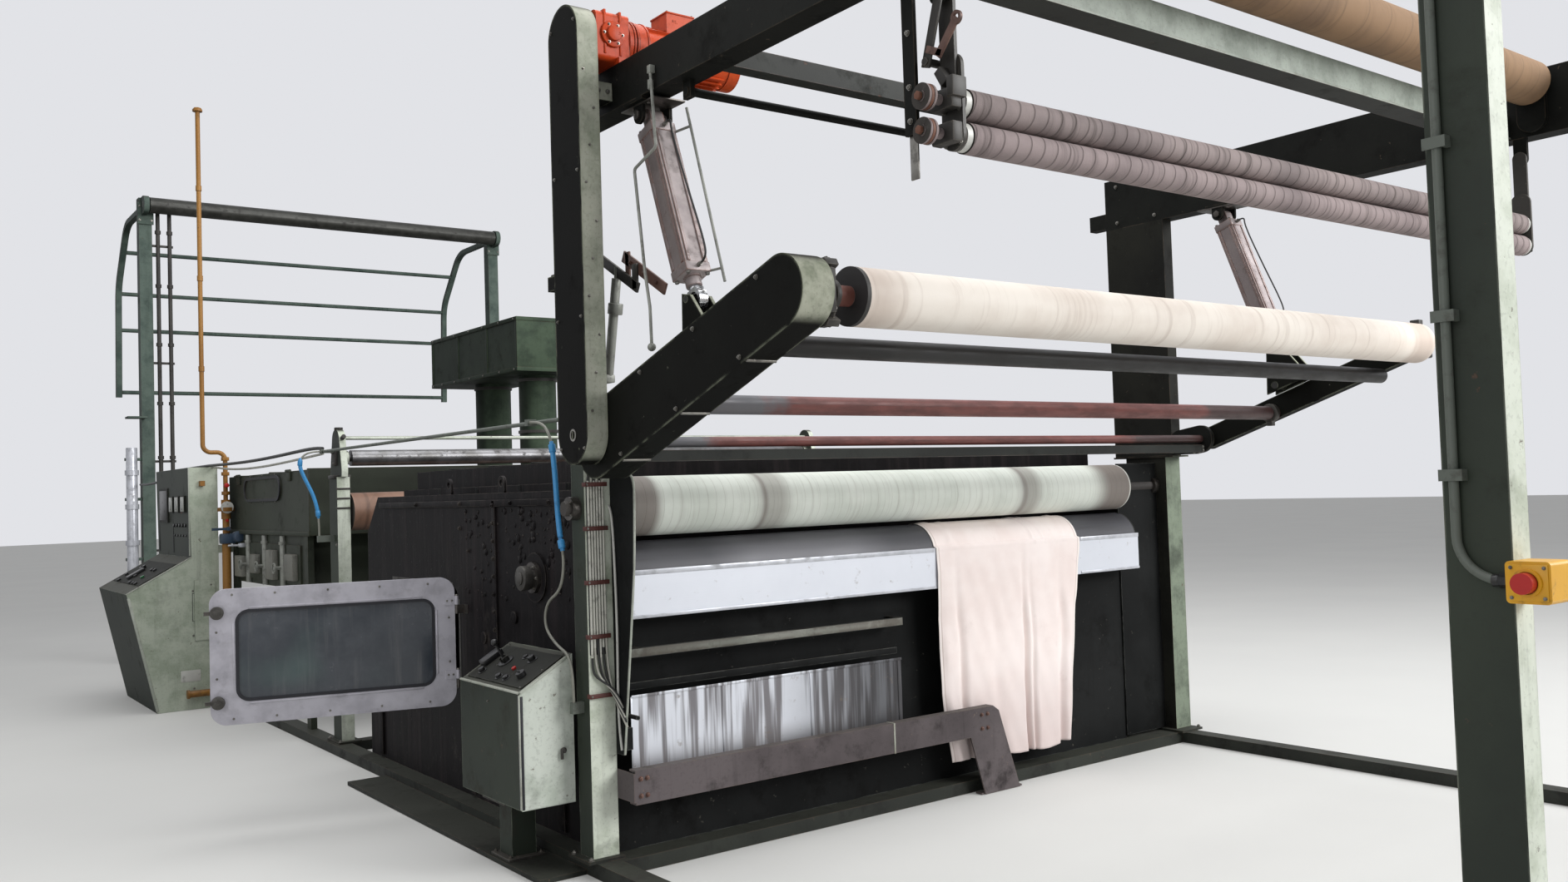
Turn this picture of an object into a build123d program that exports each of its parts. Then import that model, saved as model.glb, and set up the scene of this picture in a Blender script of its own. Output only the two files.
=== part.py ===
from build123d import *
import math
import os

os.makedirs("parts", exist_ok=True)

# Textile bleaching line. Millimetres, X across the cloth, Y along its run, Z up.
# The delivery end faces -Y and the operator's side faces -X.

# Side frames of the delivery end
near_out = -1950.0
near_in = -1840.0
far_in = 1840.0
far_out = 1950.0
post_near_in = -1832.0
sill_height = 60.0
foot_plate = 12.0
beam_low = 3045.0
near_beam_top = 3215.0
far_beam_top = 3345.0
front_end = -3573.0
beam_wall = 8.0
roller_wall = 9.0
roller_end = 22.0
panel_wall = 4.0

# Press arm and its pair of cylinders
pivot_y = -262.0
pivot_z = 1745.0
press_y = -1490.0
press_z = 2160.0
press_r = 98.0
arm_low_r = 141.0
arm_tip_r = 118.0
cylinder_top = (-475.0, 2990.0)
cylinder_eye = (-750.0, 2245.0)
barrel_half = 50.0
rod_r = 20.0
near_cylinder_x = -1860.0
far_cylinder_x = 1855.0

# Delivery rollers
draw_y = 70.0
draw_z = 1488.0
draw_r = 127.0
draw_ends = (-1790.0, 1470.0)
plait_y = -2045.0
plait_r = 46.0
plait_z = (2543.0, 2641.0)
plait_pivot_z = 2950.0
batch_y = -2110.0
batch_z = 3280.0
batch_r = 100.0

# Bath, hatch and rear section
tank_front = 240.0
tank_rear = 2927.0
tank_top = 1565.0
tank_near = -1850.0
tank_far = 1800.0
tank_wall = 8.0
door_axis = (-1886.0, 1508.0)
door_open = 74.3
hose_x = -1990.0
hose_r = 6.0
door_y = (1518.0, 2648.0)
door_z = (508.0, 1150.0)
hood_y = (3900.0, 6000.0)
hood_z = (1330.0, 1765.0)
console_y = (5900.0, 7110.0)
tower_y = (9450.0, 9570.0)
tower_top = 4690.0
tower_roller_y = 9350.0
tower_roller_z = tower_top - 90
line_end = 9950.0
rail_width = 100.0

running = 0.05


def save(name, *items):
    solids = [solid for item in items for solid in item.solids()]
    shape = solids[0] if len(solids) == 1 else Compound(children=solids)
    export_step(shape, f"parts/{name}.step")


def block(x0, x1, y0, y1, z0, z1):
    centre = ((x0 + x1) / 2, (y0 + y1) / 2, (z0 + z1) / 2)
    return Pos(*centre) * Box(x1 - x0, y1 - y0, z1 - z0)


def hollow(x0, x1, y0, y1, z0, z1, wall):
    outer = block(x0, x1, y0, y1, z0, z1)
    return outer - block(x0 + wall, x1 - wall, y0 + wall, y1 - wall, z0 + wall, z1 - wall)


def rod_x(x0, x1, y, z, r):
    return Pos((x0 + x1) / 2, y, z) * Rot(0, 90, 0) * Cylinder(r, x1 - x0)


def rod_y(y0, y1, x, z, r):
    return Pos(x, (y0 + y1) / 2, z) * Rot(90, 0, 0) * Cylinder(r, y1 - y0)


def rod_z(z0, z1, x, y, r):
    return Pos(x, y, (z0 + z1) / 2) * Cylinder(r, z1 - z0)


def ring_x(x0, x1, y, z, outer, inner):
    return rod_x(x0, x1, y, z, outer) - rod_x(x0 - 1, x1 + 1, y, z, inner)


def plate_x(x0, x1, points):
    face = make_face(Polyline(*points, close=True))
    return extrude(Plane.YZ.offset(x0) * face, x1 - x0)


def lobe_x(x0, x1, a, ra, b, rb):
    dy, dz = b[0] - a[0], b[1] - a[1]
    span = math.hypot(dy, dz)
    heading = math.atan2(dz, dy)
    spread = math.acos((ra - rb) / span)

    def rim(centre, radius, turn):
        angle = heading + turn
        return (centre[0] + radius * math.cos(angle), centre[1] + radius * math.sin(angle))

    back = ThreePointArc(rim(a, ra, spread), rim(a, ra, math.pi), rim(a, ra, -spread))
    tip = ThreePointArc(rim(b, rb, -spread), rim(b, rb, 0), rim(b, rb, spread))
    low = Line(rim(a, ra, -spread), rim(b, rb, -spread))
    high = Line(rim(b, rb, spread), rim(a, ra, spread))
    face = make_face(Curve() + [back, low, tip, high])
    return extrude(Plane.YZ.offset(x0) * face, x1 - x0)


def rounded_plate_x(x0, x1, y0, y1, z0, z1, radius):
    face = Pos((y0 + y1) / 2, (z0 + z1) / 2) * RectangleRounded(y1 - y0, z1 - z0, radius)
    return extrude(Plane.YZ.offset(x0) * face, x1 - x0)


def roller(x0, x1, y, z, r, shaft_r, shaft_x0, shaft_x1):
    shell = rod_x(x0, x1, y, z, r) - rod_x(x0 + roller_end, x1 - roller_end, y, z, r - roller_wall)
    return shell + rod_x(shaft_x0, shaft_x1, y, z, shaft_r)


def plate_y(y0, y1, points, inset=0):
    face = make_face(Polyline(*points, close=True))
    if inset:
        face = offset(face, -inset)
    return extrude(Plane.XZ.offset(-y1) * face, y1 - y0)


def case_y(y0, y1, points, wall):
    return plate_y(y0, y1, points) - plate_y(y0 + wall, y1 - wall, points, wall)


# Floor rails, cross sills and the edge plate along the bath
rails = [
    block(near_out, near_out + rail_width, front_end, line_end, 0, sill_height),
    block(far_in, far_in + rail_width, front_end, line_end, 0, sill_height),
]
sill_rows = [(front_end, -3453), (-60, 110), (300, 420), (1500, 1600), (2780, 2880)]
sill_rows += [(3330, 3430), (5900, 6000), (7600, 7720), tower_y]
sills = [block(near_out + rail_width, far_in, y0, y1, 0, sill_height) for y0, y1 in sill_rows]
edge_plate = block(-2160, near_out, 60, 2420, 0, 20)
feet = []
for x0, x1, y0, y1 in [
    (-1985, -1822, -30, 150),
    (1805, 1990, -90, 350),
    (-1985, -1850, -3573, -3410),
    (1820, 1945, -3573, -3410),
    (-1930, -1790, 3290, 3520),
    (1790, 1920, 3290, 3520),
    (-1940, -1760, 9410, 9610),
    (1820, 2000, 9410, 9610),
]:
    feet.append(block(x0, x1, y0, y1, sill_height, sill_height + foot_plate))
save("base_frame", *rails, *sills, edge_plate, *feet)
post_low = sill_height + foot_plate

# Near rear post: a square section bored through for the draw roller's shaft
post = block(near_out, post_near_in, 0, 110, post_low, beam_low)
post -= block(near_out + 7, post_near_in - 7, 7, 103, post_low, beam_low)
post -= rod_x(near_out - 5, post_near_in + 5, draw_y, draw_z, 33.5)

# Far upright: a deep lower case with a narrower, deeper upper case on it
lower_case = hollow(far_in, 1974, -23, 257, post_low, 1650, 8)
lower_case -= rod_x(far_in - 5, 1980, draw_y, draw_z, 33.5)
middle_plate = block(1832, 1980, -82, 343, 1650, 1660)
upper_case = hollow(far_in, 1920, -74, 335, 1660, beam_low, 8)
save("far_upright", lower_case, middle_plate, upper_case)

# Front posts: channels with their webs outward
front_near = block(near_out, -1880, front_end, -3452, post_low, beam_low)
front_near -= block(near_out + 8, -1879, front_end + 8, -3460, post_low, beam_low)
front_far = block(far_in, 1910, front_end, -3452, post_low, beam_low)
front_far -= block(far_in - 1, 1902, front_end + 8, -3460, post_low, beam_low)
save("posts", post, front_near, front_far)

# Top beams, with the stub behind the far one
near_beam = hollow(near_out, near_in, front_end, 110, beam_low, near_beam_top, beam_wall)
far_beam = hollow(far_in, far_out, front_end, 335, beam_low, far_beam_top, beam_wall)
stub = block(1850, 1910, 335, 466, 3061, 3153)
save("top_beams", near_beam, far_beam, stub)

# Cross members between the top beams
lip = block(near_in, far_in, -2008, -1892, 3050, 3058)
front_cross = block(near_in, far_in, -2000, -1900, 3058, 3165)
cross_tie = block(near_in, far_in, -985, -915, 3050, 3125)
low_cross = block(-1880, 1842, -292, -236, 1668, 1712)
save("cross_beams", front_cross, lip, cross_tie, low_cross)

# Plates that carry the arm's torque shaft and the low cross beam
brackets = []
near_pivot_plate = lobe_x(-1905, -1880, (pivot_y, pivot_z), 78, (-60, 1725), 78)
near_pivot_plate = near_pivot_plate & block(-1905, -1880, -400, 0, 1500, 1900)
near_pivot_plate -= rod_x(-1910, -1870, pivot_y, pivot_z, 22 + running)
far_pivot_plate = lobe_x(1842, 1867, (pivot_y, pivot_z), 78, (-130, 1725), 78)
far_pivot_plate = far_pivot_plate & block(1842, 1867, -400, -74, 1661, 1900)
far_pivot_plate -= rod_x(1830, 1880, pivot_y, pivot_z, 22 + running)
brackets += [near_pivot_plate, far_pivot_plate]

# Upright chain guard: a capsule tray, its back plate and two brackets
guard_ends = ((pivot_y, 1780.0), (pivot_y, 3320.0))
tray = lobe_x(-2130, -2047, guard_ends[0], 121, guard_ends[1], 121)
tray -= lobe_x(-2126, -2040, guard_ends[0], 117, guard_ends[1], 117)
tray -= lobe_x(-2135, -2120, (pivot_y - 4, 1762), 9, (pivot_y - 4, 1784), 9)
back = lobe_x(-2047, -2043, guard_ends[0], 121, guard_ends[1], 121)
upper_bracket = block(-2043, near_out, -320, -220, 3080, 3150)
lower_bracket = block(-2043, near_out, -200, 90, 2380, 2440)
save("drive_guard", tray, back, upper_bracket, lower_bracket)

# Gear motor lying across the near beam
motor_z = 3322.0
gearbox = block(-2036, -1890, -362, -162, 3225, 3420)
gearbox = fillet(gearbox.edges().filter_by(Axis.X), 22)
gearbox += block(-1948, -1892, -380, -144, near_beam_top, 3240)
boss = rod_x(-2043, -2036, pivot_y, motor_z, 48)
discs = rod_x(-1890, -1866, pivot_y, motor_z, 103)
discs += rod_x(-1866, -1842, pivot_y, motor_z, 92)
discs += rod_x(-1842, -1795, pivot_y, motor_z, 104)
motor = rod_x(-1795, -1402, pivot_y, motor_z, 90)
fan_cover = rod_x(-1402, -1350, pivot_y, motor_z, 94)
terminal_box = block(-1690, -1560, -322, -202, 3385, 3482) - rod_x(-1700, -1550, pivot_y, motor_z, 90)
save("gear_motor", gearbox, boss, discs, motor, fan_cover, terminal_box)

# Cylinder mounts under the top beams
for x, plate in ((near_cylinder_x, (near_out, -1788)), (far_cylinder_x, (1783, far_out))):
    brackets.append(block(*plate, -545, -405, beam_low - 12, beam_low))
    for side in (-1, 1):
        x0 = x + side * 59.5 - 6.5
        cheek = lobe_x(x0, x0 + 13, cylinder_top, 34, (cylinder_top[0], 3025), 34)
        cheek = cheek & block(x0 - 1, x0 + 14, -600, -300, 2900, beam_low - 12)
        cheek -= rod_x(x0 - 5, x0 + 20, *cylinder_top, 14 + running)
        brackets.append(cheek)

# Shaft joining the two sides in front of the cylinders
for x in (-1900, 1880):
    lug = block(x, x + 20, -805, -755, 2978, beam_low) - rod_x(x - 1, x + 21, -780, 3004, 16)
    brackets.append(lug)
brackets.append(rod_x(-1904, 1904, -780, 3004, 16))


# Cylinders: square barrels hung from the mounts, rods with oversize eyes at the arm
lean = math.degrees(math.atan2(cylinder_top[0] - cylinder_eye[0], cylinder_top[1] - cylinder_eye[1]))
reach = math.hypot(cylinder_top[0] - cylinder_eye[0], cylinder_top[1] - cylinder_eye[1])


def hang(shape, x):
    return Pos(x, *cylinder_top) * Rot(-lean, 0, 0) * shape


for side, x in (("near", near_cylinder_x), ("far", far_cylinder_x)):
    trunk = Pos(0, 0, -375) * Box(2 * barrel_half, 2 * barrel_half, 640)
    trunk -= Pos(0, 0, -380) * Cylinder(40, 610)
    trunk -= Pos(0, 0, -690) * Cylinder(rod_r + running, 60)
    trunk += Pos(0, 0, -700) * (Cylinder(34, 14) - Cylinder(rod_r + running, 14))
    neck = Pos(0, 0, -30) * Box(60, 56, 56) + Rot(0, 90, 0) * Cylinder(28, 60)
    neck += Rot(0, 90, 0) * Cylinder(14, 134)
    save(f"cylinder_barrel_{side}", hang(trunk + neck, x))
    shank = Pos(0, 0, -(260 + reach - 40) / 2) * Cylinder(rod_r, reach - 40 - 260)
    head = Pos(0, 0, -(reach - 20)) * Box(36, 60, 44)
    head += Pos(0, 0, -reach) * Rot(0, 90, 0) * Cylinder(44, 36)
    head -= Pos(0, 0, -reach) * Rot(0, 90, 0) * Cylinder(28, 40)
    piston = Pos(0, 0, -280) * Cylinder(39.9, 40)
    save(f"cylinder_rod_{side}", hang(shank + head + piston, x))


# Press arm: chain-guarded near arm, flat far arm, tie tube and torque shaft
def along(distance, rise):
    dy, dz = press_y - pivot_y, press_z - pivot_z
    span = math.hypot(dy, dz)
    uy, uz = dy / span, dz / span
    return (pivot_y + uy * distance + uz * rise, pivot_z + uz * distance - uy * rise)


press_axis = (press_y, press_z)
pivot_axis = (pivot_y, pivot_z)
near_case = lobe_x(-2038, -1912, pivot_axis, arm_low_r, press_axis, arm_tip_r)
near_case -= lobe_x(-2034, -1916, pivot_axis, arm_low_r - 4, press_axis, arm_tip_r - 4)
near_case -= rod_x(-1920, -1905, *press_axis, 40)
near_case -= rod_x(-1920, -1905, *pivot_axis, 22)
near_case += ring_x(-1916, -1906.5, *pivot_axis, 40, 22)
near_case += ring_x(-1934, -1900, *press_axis, 62, 34)
save("arm_near_case", near_case)
far_bar = lobe_x(1906, 1964, pivot_axis, 58, press_axis, 60)
far_bar -= rod_x(1900, 1970, *press_axis, 34)
shaft_tube = rod_x(-1916, 1906, *pivot_axis, 22)
tie_tube = rod_x(-1912, 1906, -1300, 2015, 37)
lugs = []
pins = []
lug_rows = [(near_cylinder_x, (-1830, -1818), (-1912, -1900)), (far_cylinder_x, (1813, 1825), (1894, 1906))]
for x, inner, outer in lug_rows:
    foot_a, foot_b = along(500, 60), along(760, 60)
    eye_y, eye_z = cylinder_eye
    for x0, x1 in (inner, outer):
        lug = plate_x(x0, x1, [foot_a, foot_b, (eye_y - 30, eye_z + 12), (eye_y + 26, eye_z + 22)])
        lugs.append(lug)
    low_x, high_x = min(inner[0], outer[0]), max(inner[1], outer[1])
    pins.append(rod_x(low_x, high_x, *along(560, 90), 18))
    pins.append(rod_x(low_x, high_x, *along(700, 90), 18))
    pins.append(rod_x(low_x, high_x, *cylinder_eye, 12))
for pin in pins:
    lugs = [lug - pin for lug in lugs]
save("arm_far_bar", far_bar, *lugs)

# Press roller and its bearings on the arm
press_shaft = rod_x(-1933.5, 1966, *press_axis, 34 - running)
press_shell = rod_x(-1760, 1900, *press_axis, press_r) - press_shaft
press_shell -= ring_x(-1738, 1878, *press_axis, press_r - roller_wall, 34 - running)
save("press_roller", press_shell, press_shaft)

# Guide roller between the arms, with its end bearings
guide_axis = along(442, -22)
guide_ends = ring_x(-1912, -1880, *guide_axis, 46, 20 + running)
guide_ends_far = ring_x(1868, 1906, *guide_axis, 46, 20 + running)
save("arm_tubes", shaft_tube, tie_tube, *pins, guide_ends, guide_ends_far)
save("arm_guide_roller", roller(-1868, 1856, *guide_axis, 37, 20, -1911, 1905))

# Draw roller, its shaft through the post, and its bearings
save("draw_roller", roller(*draw_ends, draw_y, draw_z, draw_r, 30, -2010, 1990))
bearings = []
for x0, x1 in ((-1988, near_out), (post_near_in, -1794), (1800, far_in)):
    bearings.append(ring_x(x0, x1, draw_y, draw_z, 48, 30 + running))

# Plaiter: hangers, swinging plates and the wrapped pair
plait_axis = (plait_y, plait_pivot_z)
for x0, x1 in ((-1884, -1872), (1872, 1884)):
    brackets.append(block(x0, x1, -1972, -1922, 2560, beam_low))
for x0, x1 in ((-1858, -1842), (1842, 1858)):
    lug = lobe_x(x0, x1, plait_axis, 30, (plait_y, 3060), 30)
    lug = lug & block(x0, x1, -2100, -1990, 2900, beam_low)
    lug -= rod_x(x0 - 1, x1 + 1, *plait_axis, 12 + running)
    brackets.append(lug)
plates = []
links = []
for x0, x1 in ((-1812, -1800), (1815, 1827)):
    plate = lobe_x(x0, x1, (plait_y, plait_z[0]), 43, (plait_y, 2742), 43)
    for z in plait_z:
        plate -= rod_x(x0 - 1, x1 + 1, plait_y, z, 16 + running)
    plates.append(plate)
for x0, x1, p0, p1 in ((-1824, -1812, -1859, -1812), (1827, 1839, 1827, 1859)):
    link = lobe_x(x0, x1, (plait_y, 2720), 30, plait_axis, 30)
    links.append(link + rod_x(p0, p1, *plait_axis, 12))
save("plaiter_plates", *plates, *links)
for name, z in (("plaiter_roller_low", plait_z[0]), ("plaiter_roller_high", plait_z[1])):
    wrapped = roller(-1768, 1790, plait_y, z, plait_r, 16, -1938, 1835)
    collars = rod_x(-1796, -1768, plait_y, z, 38) + rod_x(1790, 1811, plait_y, z, 38)
    pulley = rod_x(-1934, -1926, plait_y, z, 38) + rod_x(-1926, -1912, plait_y, z, 30)
    pulley += rod_x(-1912, -1904, plait_y, z, 38)
    save(name, wrapped + collars + pulley)

# Batching roller between the top beams
save("batch_roller", roller(-1795, 1795, batch_y, batch_z, batch_r, 25, -1838, 1838))
for x0, x1 in ((near_in, -1815), (1815, far_in)):
    bracket = lobe_x(x0, x1, (batch_y, 3120), 62, (batch_y, batch_z), 62)
    brackets.append(bracket - rod_x(x0 - 1, x1 + 1, batch_y, batch_z, 25 + running))
save("beam_brackets", *brackets)

# Delivery end below the draw roller: side strip, round cover, fascia and panels
strip_points = [(20, 480), (20, 1628), (-140, 1628), (-178, 1606), (-192, 1560), (-176, 1240), (-60, 480)]
strip = plate_x(post_near_in, -1822, strip_points)
latch_box = block(-1822, -1794, -70, -10, 500, 590)
latch_bar = rod_y(-150, 30, -1813, 640, 9)
cover_r, cover_z = 145.0, 1195.0
cover_y = tank_front - cover_r
fascia_back = cover_y - cover_r
fascia_front = fascia_back - 12
cover = block(-1815, 1500, cover_y - cover_r, cover_y + cover_r, 1030, cover_z)
cover += rod_x(-1815, 1500, cover_y, cover_z, cover_r)
inside = block(-1810, 1495, cover_y - cover_r + 5, cover_y + cover_r - 5, 1025, cover_z)
inside += rod_x(-1810, 1495, cover_y, cover_z, cover_r - 5)
save("round_cover", cover - inside)
fascia = block(-1822, 1507, fascia_front, fascia_back, 1026, 1225)
back_panel = block(-1805, 1490, 60, 70, sill_height, 1100)
bar = block(-1822, -280, fascia_back + 6, fascia_back + 22, 866, 904)
bar_stay = block(-300, -280, fascia_back + 22, 60, 866, 904)
save("recess_panels", back_panel, bar, bar_stay, strip, latch_box, latch_bar)
streak = block(-1788, -310, fascia_back - 6, fascia_back, 405, 710)
stays = [block(x, x + 12, fascia_back, 60, 560, 600) for x in (-1700, -1050, -400)]
save("fascia_panels", fascia, streak, *stays)

# Step rail: a channel welded to a bracket on the near post, ending in a splayed plate leg
rail_back = fascia_front - 23
rail_front = rail_back - 50
rail_low, rail_high = 290.0, 428.0
rail_wall = 8.0
rail_near = post_near_in + rail_wall
rail_end = 222.0
leg_top = 62.0
rail_line = [(rail_near, rail_low), (rail_near, rail_high), (rail_end, rail_high), (rail_end + 40, 400)]
rail_line += [(395, 0), (150, 0), (leg_top, rail_low)]
rail = plate_y(rail_front, rail_front + rail_wall, rail_line)
rail += block(rail_near, rail_end, rail_front, rail_back, rail_high - rail_wall, rail_high)
rail += block(rail_near, leg_top, rail_front, rail_back, rail_low, rail_low + rail_wall)
leg_foot = block(130, 415, rail_front + rail_wall, rail_back, 0, rail_wall)
bracket = block(post_near_in, rail_near, rail_front, 95, rail_low + 10, rail_high - 12)
save("step_rail", rail, leg_foot, bracket)

# Cloth over the cover: up the back, round the top and down past the fascia
cloth_gap = 0.4
cloth_thick = 3.0
cloth_x = (-61.0, 1003.0)
cloth_lip = 1229.0
cloth_low = 150.0
inner_r = cover_r + cloth_gap
outer_r = inner_r + cloth_thick
front = fascia_front - cloth_gap
wrap = ring_x(*cloth_x, cover_y, cover_z, outer_r, inner_r)
wrap = wrap & block(*cloth_x, fascia_front, cover_y, 1226, cover_z + outer_r + 1)
crest = cover_y - math.sqrt(inner_r ** 2 - (1226 - cover_z) ** 2)
shelf = block(*cloth_x, front - cloth_thick, crest - 0.2, 1226, cloth_lip)
hem_x = (12.0, 905.0)
fall = [(cloth_x[0], cloth_lip), (cloth_x[1], cloth_lip), (967, 980)]
fall += [(hem_x[1], cloth_low), (hem_x[0], cloth_low), (-45, 500)]
drop = plate_y(front - cloth_thick, front, fall)
save("cloth", wrap + shelf + drop)

# Bath: shell, hatch opening, top cover, hub and lifting eyes
tank_line = [(tank_front, sill_height), (tank_front, tank_top), (2740, tank_top)]
tank_line += [(tank_rear, 1358), (tank_rear, sill_height)]
inner_line = [(tank_front + 8, 68), (tank_front + 8, 1557), (2736, 1557), (2919, 1355), (2919, 68)]
tank = plate_x(tank_near, tank_far, tank_line)
tank -= plate_x(tank_near + tank_wall, tank_far - tank_wall, inner_line)
opening = rounded_plate_x(tank_near - 5, tank_near + 20, 1576, 2586, 568, 1090, 60)
tank -= opening
squeeze = (665.0, 1176.0)
bath = (2080.0, 420.0)
tank -= rod_x(tank_near - 5, tank_near + 20, *squeeze, 36)
save("tank", tank)
lid = hollow(-1760, 1720, 350, 2560, tank_top, 1600, 6)
ridge = hollow(-1700, 1660, 400, 2500, 1600, 1700, 6)
hubs = [ring_x(-1878, tank_near, *squeeze, 70, 34 + running)]
hubs.append(ring_x(1766, 1792, *squeeze, 60, 34 + running))
for x0, x1 in ((-1842, -1816), (1766, 1792)):
    hubs.append(ring_x(x0, x1, *bath, 50, 25 + running))
save("roller_bearings", *bearings, *hubs)
save("squeeze_roller", roller(-1780, 1740, *squeeze, 110, 34, -1892, 1790))
save("bath_roller", roller(-1790, 1740, *bath, 90, 25, -1840, 1790))
eyes = []
for y in (1044, 1692):
    eye = lobe_x(-1842, -1828, (y, 1580), 34, (y, 1612), 34)
    eye = eye & block(-1842, -1828, y - 60, y + 60, tank_top, 1700)
    eyes.append(eye - rod_x(-1850, -1820, y, 1612, 18))
save("tank_cover", lid, ridge, *eyes)


# Hatch door, modelled shut and then swung open about its hinge
def swing(shape):
    return Pos(*door_axis, 0) * Rot(0, 0, door_open) * Pos(-door_axis[0], -door_axis[1], 0) * shape


glass_y = (door_y[0] + 98, door_y[1] - 112)
glass_z = (door_z[0] + 106, door_z[1] - 100)
frame = rounded_plate_x(-1882, -1852, *door_y, *door_z, 74)
frame -= rounded_plate_x(-1890, -1840, *glass_y, *glass_z, 62)
seal = rounded_plate_x(-1884, -1858, *glass_y, *glass_z, 62)
seal -= rounded_plate_x(-1890, -1850, glass_y[0] + 14, glass_y[1] - 14, glass_z[0] + 14, glass_z[1] - 14, 48)
seal -= rounded_plate_x(-1874, -1866, glass_y[0] + 7, glass_y[1] - 7, glass_z[0] + 7, glass_z[1] - 7, 55)
save("hatch_seal", swing(seal))
glass = rounded_plate_x(-1874, -1866, glass_y[0] + 7, glass_y[1] - 7, glass_z[0] + 7, glass_z[1] - 7, 55)
save("hatch_glass", swing(glass))
for name, z in (("hatch_latch_high", 1040.0), ("hatch_latch_low", 618.0)):
    knob = rod_x(-1910, -1884.3, door_y[1] - 34, z, 24) + rod_x(-1884.3, -1882, door_y[1] - 34, z, 14)
    knob += block(-1908, -1890, door_y[1] - 44, door_y[1] + 22, z - 9, z + 9)
    save(name, swing(knob))
leaves = []
fixed = []
for z in (640.0, 1010.0):
    leaf = rod_z(z + 1, z + 44, *door_axis, 9) - rod_z(z, z + 45, *door_axis, 6 + running)
    leaf += block(-1886, -1882, 1516, 1570, z + 1, z + 44) + block(-1886, -1882, 1513, 1520, z + 1, z + 44)
    leaves.append(leaf - rod_z(z, z + 45, *door_axis, 6 + running))
    knuckle = rod_z(z - 44, z, *door_axis, 9) + rod_z(z - 44, z + 44, *door_axis, 6)
    knuckle += block(-1886, tank_near, 1499, 1508, z - 44, z) + block(-1854, tank_near, 1450, 1508, z - 44, z)
    fixed.append(knuckle)
save("hatch_frame", swing(frame), *[swing(leaf) for leaf in leaves])
save("hatch_hinges", *fixed)

# Mid posts with guide roller, thin bar and the brown roller borne between them
mid_y, mid_top = 3405.0, 1700.0
brown_z, brown_r, brown_shaft_r = 1482.0, 118.0, 25.0
mid = []
for x0, x1 in ((-1900, -1820), (1810, 1890)):
    post = block(x0, x1, mid_y - 75, mid_y + 75, post_low, mid_top)
    mid.append(post - rod_x(-1852, 1842, mid_y, brown_z, brown_shaft_r + running))
    head = lobe_x(x0 + 20, x1 - 20, (mid_y, mid_top + 40), 110, (mid_y, mid_top + 230), 70)
    mid.append(head & block(x0, x1, mid_y - 205, mid_y + 195, mid_top, mid_top + 400))
ends = [ring_x(x, x + 30, mid_y, 1819, 46, 22 + running) for x in (-1840, 1800)]
save("rear_guide_roller", roller(-1790, 1785, mid_y, 1819, 50, 22, -1839, 1829))
save("mid_posts", *mid, *ends, rod_x(-1840, 1830, mid_y, 1945, 12))
save("brown_roller", roller(-1806, 1796, mid_y, brown_z, brown_r, brown_shaft_r, -1850, 1840))

# Singeing hood over its burner case
hood = hollow(-1900, 1850, *hood_y, *hood_z, 8)
window_ring = lobe_x(-1908, -1900, (4640, 1656), 84, (5420, 1656), 84)
window_ring -= lobe_x(-1910, -1899, (4640, 1656), 68, (5420, 1656), 68)
pane = lobe_x(-1904, -1900, (4640, 1656), 68, (5420, 1656), 68)
save("singe_hood", hood, window_ring, pane)
case = hollow(-1880, 1830, 4040, 5830, 960, hood_z[0], 6)
case_legs = []
for x0, x1 in ((-1900, -1860), (1845, 1885)):
    for y in (3960, 5840):
        case_legs.append(block(x0, x1, y, y + 80, sill_height, hood_z[0]))
ramps = [block(-1892, -1880, y, y + 330, 1000, 1260) for y in (4160, 4640, 5120)]
save("burner_case", case, *case_legs, *ramps)

# Control console
console_line = [(-2219, 1845), (-2010, 1845), (-2010, 0), (-2459, 0), (-2657, 905), (-2206, 1156)]
console = case_y(*console_y, console_line, panel_wall)
slope = math.degrees(math.atan2(1156 - 905, 451))


def on_console(shape, s, y):
    ux, uz = math.cos(math.radians(slope)), math.sin(math.radians(slope))
    return Pos(-2657 + ux * s, y, 905 + uz * s) * Rot(0, -slope, 0) * shape


panel = on_console(Pos(0, 0, 3) * Box(300, 1060, 6), 260, 6505)
panel -= on_console(Cylinder(9 + running, 30), 200, 6240)
meters = [block(-2231, -2205, y, y + 130, 1500, 1630) for y in (6010, 6220, 6430)]
meters += [block(-2227, -2205, 6640, 6960, 1420, 1700)]
meters = [meter - plate_y(*console_y, console_line) for meter in meters]
button = Pos(0, 0, 15) * Cylinder(16, 10) + Pos(0, 0, 6.5) * Cylinder(9, 7)
save("console_button", on_console(button, 200, 6240))
dial = Pos(0, 0, 17.3) * Cylinder(26, 22) + Pos(0, 13, 31) * Box(6, 22, 8)
save("console_dial", on_console(dial, 300, 6700))
cover_plate = block(-2190, -2040, 5892, 5900, 520, 980)
tie_plate = block(-2010, -1900, 5905, 5917, 1180, 1240)
save("console", console, cover_plate, tie_plate)

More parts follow.
